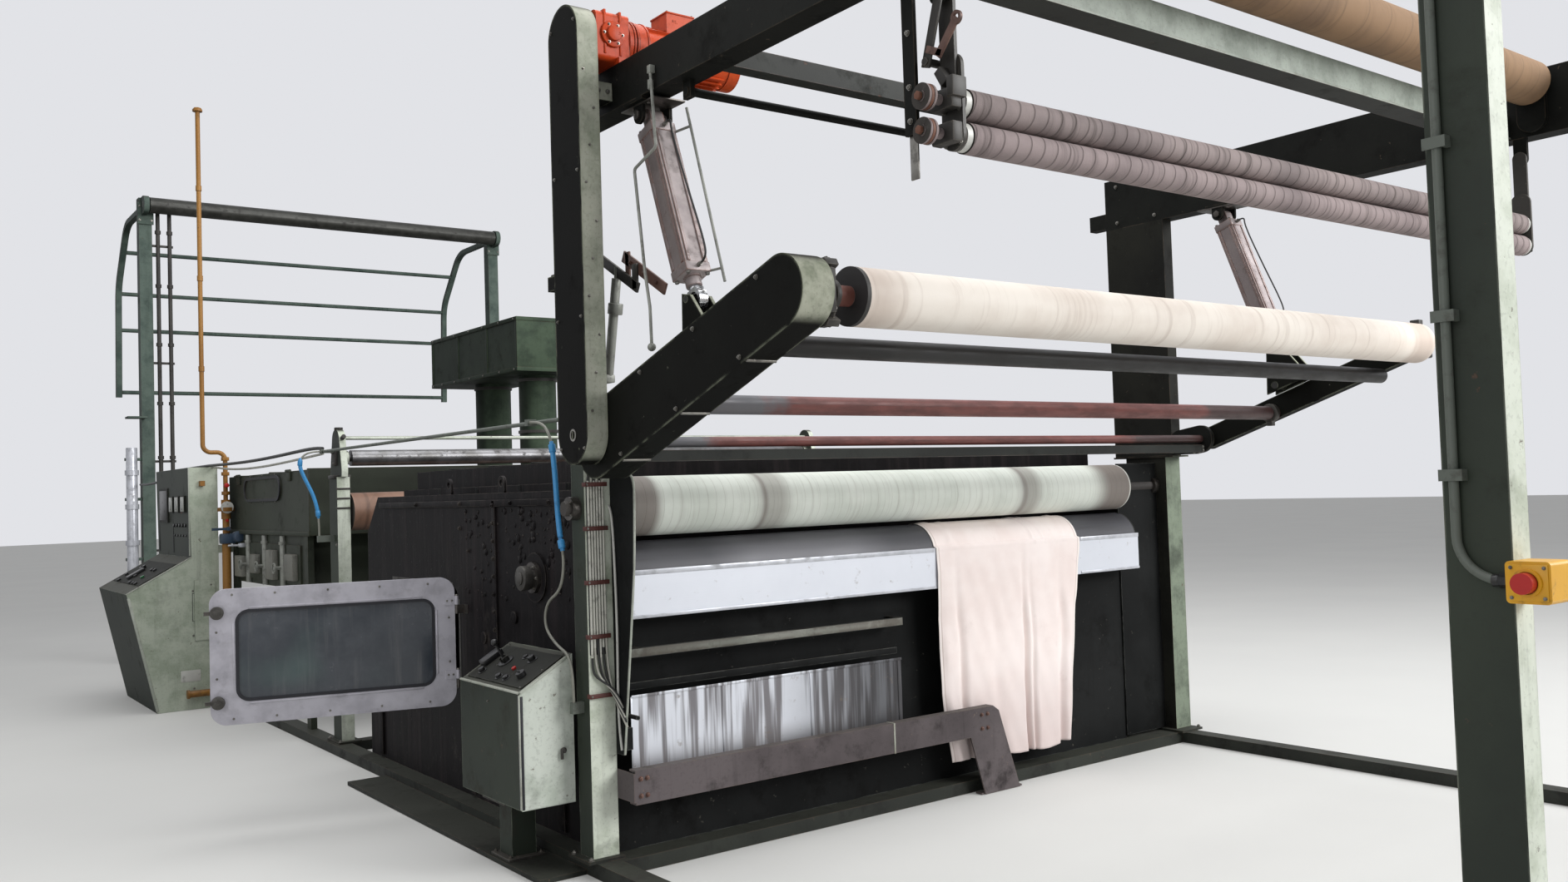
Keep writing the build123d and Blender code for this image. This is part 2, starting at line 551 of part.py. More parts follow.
# Gas line, its valve and handle
pipe_bends = [(-2128, 5830, 4600), (-2128, 5830, 1957), (-1968, 5830, 1957), (-1968, 5830, 1590)]
pipe_line = FilletPolyline(*pipe_bends, radius=60)
pipe = sweep(Plane(pipe_line @ 0, z_dir=pipe_line % 0) * Circle(17), path=pipe_line)
flange = rod_z(4600, 4616, -2128, 5830, 36)
clip = block(-2145, -2111, 5847, 5900, 1700, 1740)
gas_x = -1968.0
regulator = rod_z(1440, 1590, gas_x, 5830, 34) + rod_z(1500, 1530, gas_x, 5830, 62)
valve = rod_z(1290, 1440, gas_x, 5830, 26) + rod_y(5770, 5830, gas_x, 1365, 20)
down = rod_z(sill_height, 1290, gas_x, 5830, 32)
save("gas_line", pipe, flange, clip, regulator + valve, down)
handle = block(gas_x - 120, gas_x + 10, 5758, 5766, 1355, 1375) + rod_y(5758, 5769.7, gas_x, 1365, 16)
save("gas_handle", handle)

# Near control desk on its pedestal
desk_x, desk_foot, desk_lip = -2200, sill_height + 225, sill_height + 692
desk_back = near_out - 12
desk_rise = 140
desk_line = [(desk_x, desk_foot), (desk_x, desk_lip)]
desk_line += [(desk_back, desk_lip + desk_rise), (desk_back, desk_foot)]
desk = case_y(120, 720, desk_line, panel_wall)
desk_slope = math.degrees(math.atan2(desk_rise, desk_back - desk_x))


def on_desk(shape, s, y):
    ux, uz = math.cos(math.radians(desk_slope)), math.sin(math.radians(desk_slope))
    return Pos(desk_x + ux * s, y, desk_lip + uz * s) * Rot(0, -desk_slope, 0) * shape


pedestal = block(-2120, -2010, 400, 520, 20, desk_foot - 12)
pedestal_top = block(-2150, -1980, 360, 560, desk_foot - 12, desk_foot)
save("desk", desk, pedestal, pedestal_top)
desk_panel = on_desk(Pos(0, 0, 3) * Box(220, 540, 6), 138, 420)
knob = Pos(0, 0, 18) * Cylinder(20, 20) + Pos(0, 0, 7.15) * Cylinder(8, 1.7) + Pos(0, 10, 31) * Box(5, 18, 6)
save("desk_knob", on_desk(knob, 90, 250))
lever = Pos(0, 0, 20) * Rot(90, 0, 0) * Cylinder(12, 21) + Pos(0, 0, 64) * Cylinder(6, 84)
lever += Pos(0, 0, 108) * Sphere(15)
lever += Pos(0, 0, 20) * Rot(90, 0, 0) * Cylinder(5, 38)
yoke_hole = Rot(90, 0, 0) * Cylinder(5 + running, 60)
yokes = [Pos(0, s * 15, 19) * Box(30, 8, 26) - Pos(0, 0, 20) * yoke_hole for s in (-1, 1)]
save("desk_lever", on_desk(lever, 150, 520))
save("control_panels", panel, *meters, desk_panel, *[on_desk(yoke, 150, 520) for yoke in yokes])

# Cable loom and its ties on the rear post
cables = [rod_z(880 + 40 * (i % 3), 1600, -1935 + 13 * i, -5.5, 5) for i in range(6)]
ties = [block(-1944, -1864, -12.5, -10.7, z, z + 8) for z in (1580, 1400, 1180, 960)]

# Conduit down the front post to the stop box
route = FilletPolyline((-1959.5, -3478, 2990), (-1959.5, -3478, 1336), (-1959.5, -3573, 1336), radius=80)
conduit = sweep(Plane(route @ 0, z_dir=route % 0) * Circle(9), path=route)
clips = []
for z in (2150, 1820, 1520):
    clip_face = block(-1973, -1969.5, -3500, -3456, z, z + 22)
    clips.append(block(-1973, near_out, -3500, -3492, z, z + 22) + clip_face)
air_pipe = rod_y(-10, 3400, -1959, 1862, 9)
air_clip = block(-1966, -1880, 3396, 3416, 1852, 1872) - rod_y(3300, 3420, -1959, 1862, 9)
tap = block(-2002, near_out, 46, 74, 655, 700)
mid_tap = block(-2002, -1900, 3393, 3417, 1300, 1340)
tees = [block(-2002, -1960, 400, 428, 1848, 1876), block(-1975, -1960, 3388, 3422, 1848, 1876)]
tees = [tee - rod_y(300, 3500, -1959, 1862, 9) for tee in tees]
save("cables", *cables, *ties, conduit, *clips, air_pipe, air_clip, tap, mid_tap, *tees)
stop_box = block(-1986, -1905, -3650, front_end, 1298, 1374)
stop_box = fillet(stop_box.edges().filter_by(Axis.X), 8) - rod_x(-1990, -1960, -3612, 1336, 10 + running)
save("stop_box", stop_box)
save("stop_button", rod_x(-2016, -1996, -3612, 1336, 19) + rod_x(-1996, -1974, -3612, 1336, 10))

# Tower at the entry end
tower = [hollow(x, x + 120, *tower_y, post_low, tower_top, 6) for x in (-1910, 1850)]
for x0, x1 in ((-1890, -1840), (1880, 1930)):
    bearing = lobe_x(x0, x1, (tower_y[0], tower_roller_z), 90, (tower_roller_y, tower_roller_z), 90)
    bearing = bearing & block(x0, x1, 9000, tower_y[0], tower_roller_z - 200, tower_roller_z + 200)
    tower.append(bearing - rod_x(x0 - 1, x1 + 1, tower_roller_y, tower_roller_z, 30 + running))
save("tower_roller", roller(-1830, 1870, tower_roller_y, tower_roller_z, 80, 30, -1890, 1930))
for x0 in (-1880, 1880):
    top = tower_roller_z
    bow = [(x0, tower_y[1], top), (x0, 10450, top), (x0, 11000, top - 600), (x0, 11060, top - 1820)]
    curve = FilletPolyline(*bow, radius=420)
    start = Plane(curve @ 0, x_dir=(1, 0, 0), z_dir=curve % 0)
    arm = sweep(start * Pos(30, 0) * Rectangle(60, 50), path=curve)
    tower.append(arm)
for share in (0.42, 0.6, 0.74, 0.98):
    spot = curve @ share
    tower.append(rod_x(-1820, 1880, spot.Y, spot.Z, 22))
save("tower", *tower)

# Exhaust box on its ducts
exhaust = hollow(1000, 1820, 6900, 9100, 2780, 3310, 8)
base = hollow(1050, 1900, 7000, 9000, sill_height, 1100, 8)
ducts = [rod_z(1100, 2780, 1450, y, 190) - rod_z(1090, 2790, 1450, y, 186) for y in (7400, 8500)]
save("exhaust", exhaust, base, *ducts)


# Air hoses: one from the air pipe to the rear post's tap, one beside the mid post
def hose(name, points, radius):
    spots = [Vector(*point) for point in points]
    runs = [b - a for a, b in zip(spots, spots[1:])]
    bends = []
    for before, after in zip(runs, runs[1:]):
        turn = math.radians(before.get_angle(after))
        bends.append(0.45 * min(before.length, after.length) / math.tan(turn / 2))
    print(name, "bend radii", [round(bend) for bend in bends])
    path = FilletPolyline(*points, radius=bends)
    tube = sweep(Plane(path @ 0, z_dir=path % 0) * Circle(radius), path=path)
    ratio = tube.volume / (math.pi * radius ** 2 * path.length)
    print(name, "length", round(path.length), "volume ratio", round(ratio, 4))
    save(name, tube)


near_line = [(400, 1862), (290, 1862), (205, 1790), (178, 1660), (166, 1520), (150, 1390), (110, 1270)]
near_line += [(150, 1150), (285, 1095), (310, 990), (205, 922), (88, 890), (60, 790), (60, 700)]
hose("near_hose", [(hose_x, y, z) for y, z in near_line], hose_r)
rear_line = [(-1975, 1862), (-2065, 1862), (-2110, 1785), (-2070, 1690)]
rear_line += [(-2020, 1590), (-1990, 1470), (-1990, 1340)]
hose("rear_hose", [(x, 3405, z) for x, z in rear_line], hose_r)
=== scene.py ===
import math
import random

import bmesh
import bpy
from mathutils import Matrix, Vector


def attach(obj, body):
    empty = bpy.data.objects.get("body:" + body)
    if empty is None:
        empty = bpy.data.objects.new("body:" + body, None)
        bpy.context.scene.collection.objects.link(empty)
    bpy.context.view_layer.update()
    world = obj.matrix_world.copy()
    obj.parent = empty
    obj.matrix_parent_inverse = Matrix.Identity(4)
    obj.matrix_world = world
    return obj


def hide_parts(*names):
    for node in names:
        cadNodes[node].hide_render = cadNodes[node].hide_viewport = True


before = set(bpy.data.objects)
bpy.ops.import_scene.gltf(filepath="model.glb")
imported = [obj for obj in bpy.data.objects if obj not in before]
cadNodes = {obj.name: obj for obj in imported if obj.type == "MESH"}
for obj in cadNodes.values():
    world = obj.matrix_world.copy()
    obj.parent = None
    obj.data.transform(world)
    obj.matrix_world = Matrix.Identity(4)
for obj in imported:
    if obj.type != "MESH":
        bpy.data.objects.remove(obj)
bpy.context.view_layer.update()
print("frame loaded:", len(cadNodes), "nodes")


# camera at the height and angle of the picture
view = {"place": (-4.400, -4.640, 1.550), "heading": 36.84, "tilt": 2.06, "roll": -1.86, "lens": 29.18,
    "sensor": 36}


def makeCamera():
    lens = bpy.data.cameras.new("viewCamera")
    lens.lens, lens.sensor_width = view["lens"], view["sensor"]
    lens.clip_start, lens.clip_end = 0.05, 300
    camera = bpy.data.objects.new("viewCamera", lens)
    bpy.context.scene.collection.objects.link(camera)
    turn = Matrix.Rotation(-math.radians(view["heading"]), 4, "Z")
    turn = turn @ Matrix.Rotation(math.radians(90 + view["tilt"]), 4, "X")
    turn = turn @ Matrix.Rotation(math.radians(view["roll"]), 4, "Z")
    camera.matrix_world = Matrix.Translation(view["place"]) @ turn
    bpy.context.scene.camera = camera


makeCamera()


# shader maths: a socket that takes part in sums
class Wire:
    def __init__(self, surface, socket):
        self.surface = surface
        self.socket = socket

    def maths(self, operation, *values):
        return self.surface.node("ShaderNodeMath", {"operation": operation}, dict(enumerate(values)))

    def __add__(self, other):
        return self.maths("ADD", self, other)

    def __radd__(self, other):
        return self.maths("ADD", other, self)

    def __sub__(self, other):
        return self.maths("SUBTRACT", self, other)

    def __rsub__(self, other):
        return self.maths("SUBTRACT", other, self)

    def __mul__(self, other):
        return self.maths("MULTIPLY", self, other)

    def __rmul__(self, other):
        return self.maths("MULTIPLY", other, self)

    def __truediv__(self, other):
        return self.maths("DIVIDE", self, other)

    def __gt__(self, other):
        return self.maths("GREATER_THAN", self, other)

    def __lt__(self, other):
        return self.maths("LESS_THAN", self, other)


def tint(red, green, blue):
    parts = [value / 255 for value in (red, green, blue)]
    return tuple(p / 12.92 if p < 0.04045 else ((p + 0.055) / 1.055) ** 2.4 for p in parts) + (1.0,)


class Surface:
    def __init__(self, name):
        self.material = bpy.data.materials.new(name)
        self.material.use_nodes = True
        self.tree = self.material.node_tree
        self.tree.nodes.clear()
        self.spot = self.node("ShaderNodeTexCoord", out="Object")

    def node(self, kind, settings=None, values=None, out=0):
        made = self.tree.nodes.new(kind)
        for key, value in (settings or {}).items():
            if key == "stops":
                ramp = made.color_ramp
                while len(ramp.elements) < len(value):
                    ramp.elements.new(0.5)
                for element, (place, colour) in zip(ramp.elements, value):
                    element.position, element.color = place, colour
            else:
                setattr(made, key, value)
        for key, value in (values or {}).items():
            if isinstance(value, Wire):
                self.tree.links.new(value.socket, made.inputs[key])
            else:
                made.inputs[key].default_value = value
        return Wire(self, made.outputs[out]) if made.outputs else None

    def stretched(self, scale, turn=(0, 0, 0)):
        return self.node("ShaderNodeMapping", None, {"Vector": self.spot, "Scale": scale, "Rotation": turn})

    def noise(self, scale, detail=3.0, rough=0.55, spot=None):
        values = {"Vector": spot or self.spot, "Scale": scale, "Detail": detail, "Roughness": rough}
        return self.node("ShaderNodeTexNoise", None, values)

    def part(self, axis):
        return self.node("ShaderNodeSeparateXYZ", None, {0: self.spot}, out=axis)

    def step(self, value, low, high):
        settings = {"interpolation_type": "SMOOTHSTEP"}
        return self.node("ShaderNodeMapRange", settings, {"Value": value, "From Min": low, "From Max": high})

    def band(self, value, low, high, soft):
        return self.step(value, low - soft, low + soft) * (1 - self.step(value, high - soft, high + soft))

    def mix(self, factor, first, second):
        return self.node("ShaderNodeMix", {"data_type": "RGBA"}, {0: factor, 6: first, 7: second}, out=2)

    def facing(self, axis):
        normal = self.node("ShaderNodeNewGeometry", None, None, out="Normal")
        return self.node("ShaderNodeSeparateXYZ", None, {0: normal}, out=axis)

    def edge(self, radius):
        soft = self.node("ShaderNodeBevel", {"samples": 4}, {"Radius": radius})
        true = self.node("ShaderNodeNewGeometry", None, None, out="Normal")
        dot = self.node("ShaderNodeVectorMath", {"operation": "DOT_PRODUCT"}, {0: soft, 1: true}, out="Value")
        return self.step(dot, 0.995, 0.86)

    def turnAbout(self, centre):
        across = self.part("Y") - centre[0]
        up = self.part("Z") - centre[1]
        return across.maths("ARCTAN2", up, across)

    def finish(self, colour, rough, bump=None, depth=0.001, metal=0.0, fixed=None, coat=None):
        values = {"Base Color": colour, "Roughness": rough, "Metallic": metal}
        values.update(fixed or {})
        if coat is not None:
            values["Coat Weight"] = coat
        if bump is not None:
            values["Normal"] = self.node("ShaderNodeBump", None,
                {"Height": bump, "Distance": depth, "Strength": 1.0})
        shader = self.node("ShaderNodeBsdfPrincipled", None, values)
        self.node("ShaderNodeOutputMaterial", None, {"Surface": shader})
        return self.material


# worn machine paint: faded patches, greasy dirt, runs, chips and rubbed edges; where a look gives a front
# colour, it is painted light on the faces turned to -Y, and the paint colour stands for the same paint in
# shade on the other faces
def wornPaint(name, look):
    s = Surface(name)
    grime = look.get("grime", 0.5)
    patches = s.step(s.noise(look.get("patch", 1.7), 4), 0.35, 0.65)
    colour = s.mix(patches, look["paint"], look["faded"])
    clean = 1.0
    # painted light: faces turned to -Y, within the given span, take the pale front colour mottled with its
    # darker tone as the lit side, and dirt is cut back there; the dark paint colour left on the other faces
    # is painted shade
    if "front" in look:
        axis, low, high = look.get("span", ("Z", -9, 9))
        front = s.step(s.facing("Y"), -0.40, -0.80) * s.band(s.part(axis), low, high, 0.01)
        mottle = s.step(s.noise(5.2, 6, 0.66), 0.42, 0.66)
        colour = s.mix(front, colour, s.mix(mottle, look["front"], look["frontShade"]))
        clean = 1 - 0.55 * front
    dirt = s.step(s.noise(look.get("dirtScale", 5.0), 6, 0.68), 0.62 - 0.22 * grime,
        0.80 - 0.1 * grime) * clean
    runs = s.step(s.noise(1.0, 4, 0.6, s.stretched((26, 26, 1.3))), 0.56, 0.76)
    film = s.noise(70, 2)
    colour = s.mix(dirt * (0.45 + 0.45 * grime), colour, look["dirt"])
    colour = s.mix(runs * (0.55 * grime), colour, look["dirt"])
    colour = s.mix((film > 0.6) * 0.12, colour, look["dirt"])
    low = 1 - s.step(s.part("Z"), 0.05, 0.55)
    colour = s.mix(low * dirt * 0.6, colour, look["dirt"])
    top = s.step(s.facing("Z"), 0.6, 0.95)
    colour = s.mix(top * look.get("dust", 0.35), colour, look.get("dustTint", tint(104, 100, 92)))
    chips = s.step(s.noise(look.get("chipScale", 24), 5, 0.7), 0.68 - look.get("chips", 0.03), 0.72)
    colour = s.mix(chips * 0.85, colour, look["chip"])
    rub = s.edge(look.get("edgeWidth", 0.006)) * s.step(s.noise(11, 4), 0.36, 0.56)
    colour = s.mix(rub * look.get("rub", 0.7), colour, look.get("rubTint", look["chip"]))
    rough = look.get("rough", 0.58) + 0.22 * dirt + 0.10 * top - 0.10 * rub
    height = 0.35 * film + 0.8 * dirt - 0.9 * chips
    return s.finish(colour, rough, height, look.get("depth", 0.0007),
        fixed={"Specular IOR Level": look.get("shine", 0.3)})


greenGrime = tint(38, 38, 32)
# front and its darker tone: painted light on faces turned to -Y, within the span; in looks with a front,
# paint is the same paint painted in shade
paints = {
    "framePaint": {"front": tint(212, 218, 204), "frontShade": tint(180, 188, 170), "paint": tint(38, 44, 37),
        "faded": tint(50, 57, 47), "dirt": greenGrime, "chip": tint(84, 66, 54), "grime": 0.45, "chips": 0.03,
        "rubTint": tint(150, 154, 140)},
    "railPaint": {"paint": tint(32, 35, 30), "faded": tint(43, 46, 40), "dirt": tint(21, 20, 18),
        "chip": tint(82, 68, 56), "grime": 0.6, "dust": 0.3, "dustTint": tint(70, 70, 62)},
    "beamPaint": {"paint": tint(19, 20, 18), "faded": tint(26, 27, 24), "dirt": tint(14, 13, 12),
        "chip": tint(84, 74, 62), "grime": 0.6, "dust": 0.3, "dustTint": tint(80, 80, 72), "shine": 0.1},
    "uprightPaint": {"front": tint(122, 132, 116), "frontShade": tint(96, 104, 92), "span": ("Z", 0, 1.652),
        "paint": tint(28, 28, 26), "faded": tint(39, 39, 34), "dirt": tint(20, 18, 16),
        "chip": tint(96, 84, 72), "grime": 0.6, "shine": 0.1},
    "crossPaint": {"front": tint(150, 158, 148), "frontShade": tint(124, 132, 122), "span": ("Y", -3.0, -1.5),
        "paint": tint(32, 34, 31), "faded": tint(43, 46, 42), "dirt": tint(22, 22, 19),
        "chip": tint(88, 66, 56), "grime": 0.45, "dust": 0.3},
    "armPaint": {"front": tint(172, 174, 158), "frontShade": tint(124, 130, 112), "paint": tint(19, 19, 17),
        "faded": tint(24, 25, 22), "dirt": tint(14, 13, 12), "chip": tint(104, 104, 92), "grime": 0.4,
        "dust": 0.15, "rub": 0.85, "rubTint": tint(136, 140, 122), "edgeWidth": 0.010, "chips": 0.0,
        "shine": 0.05},
    "guardPaint": {"front": tint(172, 174, 160), "frontShade": tint(142, 148, 132), "paint": tint(17, 17, 16),
        "faded": tint(21, 21, 19), "dirt": tint(14, 13, 12), "chip": tint(96, 100, 86), "grime": 0.3,
        "rub": 0.85, "rubTint": tint(140, 144, 126), "edgeWidth": 0.012, "chips": -0.01, "shine": 0.05},
    "hoodPaint": {"paint": tint(38, 42, 33), "faded": tint(50, 56, 45), "dirt": tint(27, 28, 23),
        "chip": tint(86, 76, 60), "grime": 0.45, "chips": 0.0},
    "consolePaint": {"front": tint(184, 192, 176), "frontShade": tint(158, 168, 150),
        "paint": tint(36, 43, 36), "faded": tint(45, 52, 43), "dirt": tint(48, 46, 40),
        "chip": tint(84, 66, 52), "grime": 0.35, "chips": 0.0, "rubTint": tint(150, 158, 140)},
    "deskPaint": {"span": ("Z", 0.283, 9), "front": tint(206, 212, 202), "frontShade": tint(182, 190, 178),
        "paint": tint(36, 43, 36), "faded": tint(45, 52, 43), "dirt": tint(48, 46, 40),
        "chip": tint(84, 66, 52), "grime": 0.5, "chips": 0.04, "rubTint": tint(150, 158, 140)},
    "panelPaint": {"dust": 0.08, "paint": tint(32, 34, 32), "faded": tint(44, 46, 43),
        "dirt": tint(32, 31, 28), "chip": tint(96, 94, 86), "grime": 0.5, "shine": 0.12},
    "towerPaint": {"front": tint(92, 106, 98), "frontShade": tint(70, 84, 78), "paint": tint(44, 54, 49),
        "faded": tint(56, 68, 62), "dirt": tint(34, 37, 33), "chip": tint(84, 62, 48), "grime": 0.45,
        "shine": 0.15},
    "exhaustPaint": {"front": tint(70, 84, 68), "frontShade": tint(56, 68, 56), "paint": tint(34, 42, 34),
        "faded": tint(44, 53, 43), "dirt": tint(36, 38, 32), "chip": tint(84, 66, 52), "grime": 0.5,
        "shine": 0.12},
    "orangePaint": {"paint": tint(186, 64, 26), "faded": tint(204, 82, 36), "dirt": tint(74, 38, 26),
        "chip": tint(60, 48, 42), "grime": 0.5, "dust": 0.2, "rough": 0.40, "shine": 0.18},
    "gasPaint": {"paint": tint(142, 98, 42), "faded": tint(158, 114, 56), "dirt": tint(72, 50, 30),
        "chip": tint(66, 50, 38), "grime": 0.4, "rough": 0.4},
    "recessPaint": {"paint": tint(20, 21, 21), "faded": tint(30, 31, 31), "dirt": tint(18, 18, 17),
        "chip": tint(78, 76, 70), "grime": 0.55, "rubTint": tint(110, 112, 108), "shine": 0.08},
    "barPaint": {"paint": tint(112, 114, 106), "faded": tint(138, 138, 130), "dirt": tint(50, 50, 46),
        "chip": tint(70, 60, 52), "grime": 0.5},
    "plankPaint": {"paint": tint(74, 68, 69), "faded": tint(98, 91, 92), "dirt": tint(42, 38, 38),
        "chip": tint(112, 98, 90), "grime": 0.5, "shine": 0.15},
    "castPaint": {"paint": tint(50, 48, 46), "faded": tint(68, 66, 62), "dirt": tint(28, 27, 25),
        "chip": tint(112, 106, 98), "grime": 0.5, "rough": 0.5},
    "paleTrim": {"paint": tint(168, 174, 162), "faded": tint(186, 190, 180), "dirt": tint(80, 78, 70),
        "chip": tint(90, 74, 62), "grime": 0.5},
    "burnerGrey": {"paint": tint(112, 112, 106), "faded": tint(134, 134, 126), "dirt": tint(50, 48, 44),
        "chip": tint(84, 68, 56), "grime": 0.6},
}
finishes = {name: wornPaint(name, look) for name, look in paints.items()}
print("paints made:", len(finishes))


# brushed stainless with a painted shadow over its lower part towards +X, and worn steel, the cylinder alloy
# with painted shade on its faces turned to -X
def sheetSteel():
    s = Surface("sheetSteel")
    grain = s.noise(1.0, 4, 0.6, s.stretched((3, 3, 260)))
    cloud = s.noise(2.2, 4, 0.6)
    low = 1 - s.step(s.part("Z"), 0.72, 0.76)
    stripes = s.step(s.noise(1.0, 3, 0.6, s.stretched((17, 17, 0.9))), 0.44, 0.58) * low
    foot = (1 - s.step(s.part("Z"), 0.40, 0.52)) * low
    colour = s.mix(cloud, tint(222, 225, 232), tint(200, 203, 210))
    colour = s.mix(stripes * 0.80, colour, tint(78, 70, 70))
    colour = s.mix(foot * 0.5, colour, tint(84, 76, 70))
    # painted shadow: the lower sheet darkens towards +X
    paintedShadow = s.step(s.part("X") + 0.25 * s.noise(3, 3), -1.05, -0.30) * low
    colour = s.mix(paintedShadow * 0.82, colour, tint(30, 29, 31))
    spots = s.step(s.noise(15, 6, 0.7), 0.60, 0.74)
    colour = s.mix(spots * 0.6, colour, tint(112, 98, 84))
    rim = s.step(s.part("Z"), 1.200, 1.222)
    colour = s.mix(rim * 0.35, colour, tint(206, 208, 212))
    rough = 0.34 + 0.2 * cloud + 0.25 * stripes + 0.2 * spots
    return s.finish(colour, rough, grain * 0.4 + spots * 0.4, 0.0004,
        metal=0.55 - 0.4 * spots - 0.3 * stripes)


def turnedSteel(name, look):
    s = Surface(name)
    cloud = s.step(s.noise(9, 5, 0.6), 0.35, 0.7)
    rings = s.noise(1.0, 2, 0.5, s.stretched((180, 4, 4)))
    colour = s.mix(cloud, look["bright"], look["dull"])
    # painted shade: where a look gives a shade colour, faces turned to -X take it as their shaded side; the
    # edges get rust
    if "shade" in look:
        colour = s.mix(s.step(s.facing("X"), -0.5, -0.9) * 0.8, colour, look["shade"])
        colour = s.mix(s.edge(0.010) * s.step(s.noise(12, 4), 0.3, 0.5), colour, look["rust"])
    grease = s.step(s.noise(17, 5, 0.7), 0.52, 0.66)
    colour = s.mix(grease * look.get("grease", 0.6), colour, look.get("dirt", tint(38, 34, 30)))
    return s.finish(colour, look.get("rough", 0.32) + 0.3 * grease, rings * 0.3 + grease * 0.5, 0.0003,
        metal=look.get("metal", 0.8) - 0.6 * grease)


finishes["sheetSteel"] = sheetSteel()
steels = {
    "rollerSteel": {"bright": tint(126, 126, 128), "dull": tint(96, 95, 94), "rough": 0.36, "metal": 0.7},
    "oilySteel": {"bright": tint(98, 94, 90), "dull": tint(72, 68, 64), "grease": 0.8},
    "boltSteel": {"bright": tint(140, 138, 132), "dull": tint(104, 100, 94), "grease": 0.5, "metal": 0.7},
    "rodChrome": {"bright": tint(196, 198, 200), "dull": tint(170, 170, 172), "rough": 0.14, "grease": 0.25,
        "metal": 1.0},
    "cylinderAlloy": {"bright": tint(190, 179, 178), "dull": tint(160, 149, 149), "rough": 0.42,
        "grease": 0.35, "metal": 0.25, "dirt": tint(92, 76, 70), "rust": tint(122, 78, 58),
        "shade": tint(104, 94, 92)},
    "hatchAlloy": {"bright": tint(194, 192, 200), "dull": tint(172, 170, 178), "rough": 0.42, "grease": 0.14,
        "metal": 0.3, "dirt": tint(92, 88, 92)},
    "palePipe": {"bright": tint(158, 160, 152), "dull": tint(128, 130, 124), "rough": 0.45, "grease": 0.4,
        "metal": 0.2},
    "tankSteel": {"bright": tint(84, 82, 78), "dull": tint(56, 54, 50), "rough": 0.5, "metal": 0.5,
        "grease": 0.7},
    "darkTube": {"bright": tint(62, 62, 58), "dull": tint(44, 44, 40), "rough": 0.42, "metal": 0.4,
        "grease": 0.5},
    "fasciaEdge": {"bright": tint(206, 208, 214), "dull": tint(180, 182, 188), "rough": 0.34, "metal": 0.4,
        "grease": 0.2},
    "rustyRod": {"bright": tint(112, 84, 74), "dull": tint(84, 60, 52), "rough": 0.5, "grease": 0.5,
        "metal": 0.3},
}
for steelName, steelLook in steels.items():
    finishes[steelName] = turnedSteel(steelName, steelLook)


# rollers: wound coverings with their seams, stains and end bands
def woundRoller(name, look):
    s = Surface(name)
    x = s.part("X")
    angle = s.turnAbout(look["axis"]) / (2 * math.pi)
    turns = (x / look["pitch"] + angle).maths("FRACT", x / look["pitch"] + angle)
    seam = s.band(turns, 0.0, look.get("seam", 0.10), 0.05)
    cloud = s.noise(3.0, 5, 0.6, s.stretched((1.0, 1.0, 1.0)))
    rings = s.noise(1.0, 4, 0.65, s.stretched((look.get("ringScale", 30), 1.2, 1.2)))
    colour = s.mix(s.step(cloud, 0.35, 0.68), look["base"], look["shade"])
    colour = s.mix(s.step(rings, 0.52, 0.72) * look.get("rings", 0.4), colour, look["stain"])
    colour = s.mix(seam * look.get("seamDepth", 0.5), colour, look["stain"])
    for low, high, soft, strength in look.get("bands", ()):
        colour = s.mix(s.band(x, low, high, soft) * strength, colour, look["bandTint"])
    for low, high, shade in look.get("ends", ()):
        colour = s.mix(s.band(x, low, high, 0.001), colour, shade)
    face = s.facing("X").maths("ABSOLUTE", s.facing("X")) > 0.7
    colour = s.mix(face, colour, look.get("faceTint", tint(52, 48, 44)))
    grain = s.noise(look.get("grain", 320), 2)
    height = grain * 0.25 + seam * look.get("ridge", -0.6) + rings * 0.3
    return s.finish(colour, look.get("rough", 0.62) + 0.1 * rings, height, look.get("depth", 0.0012))


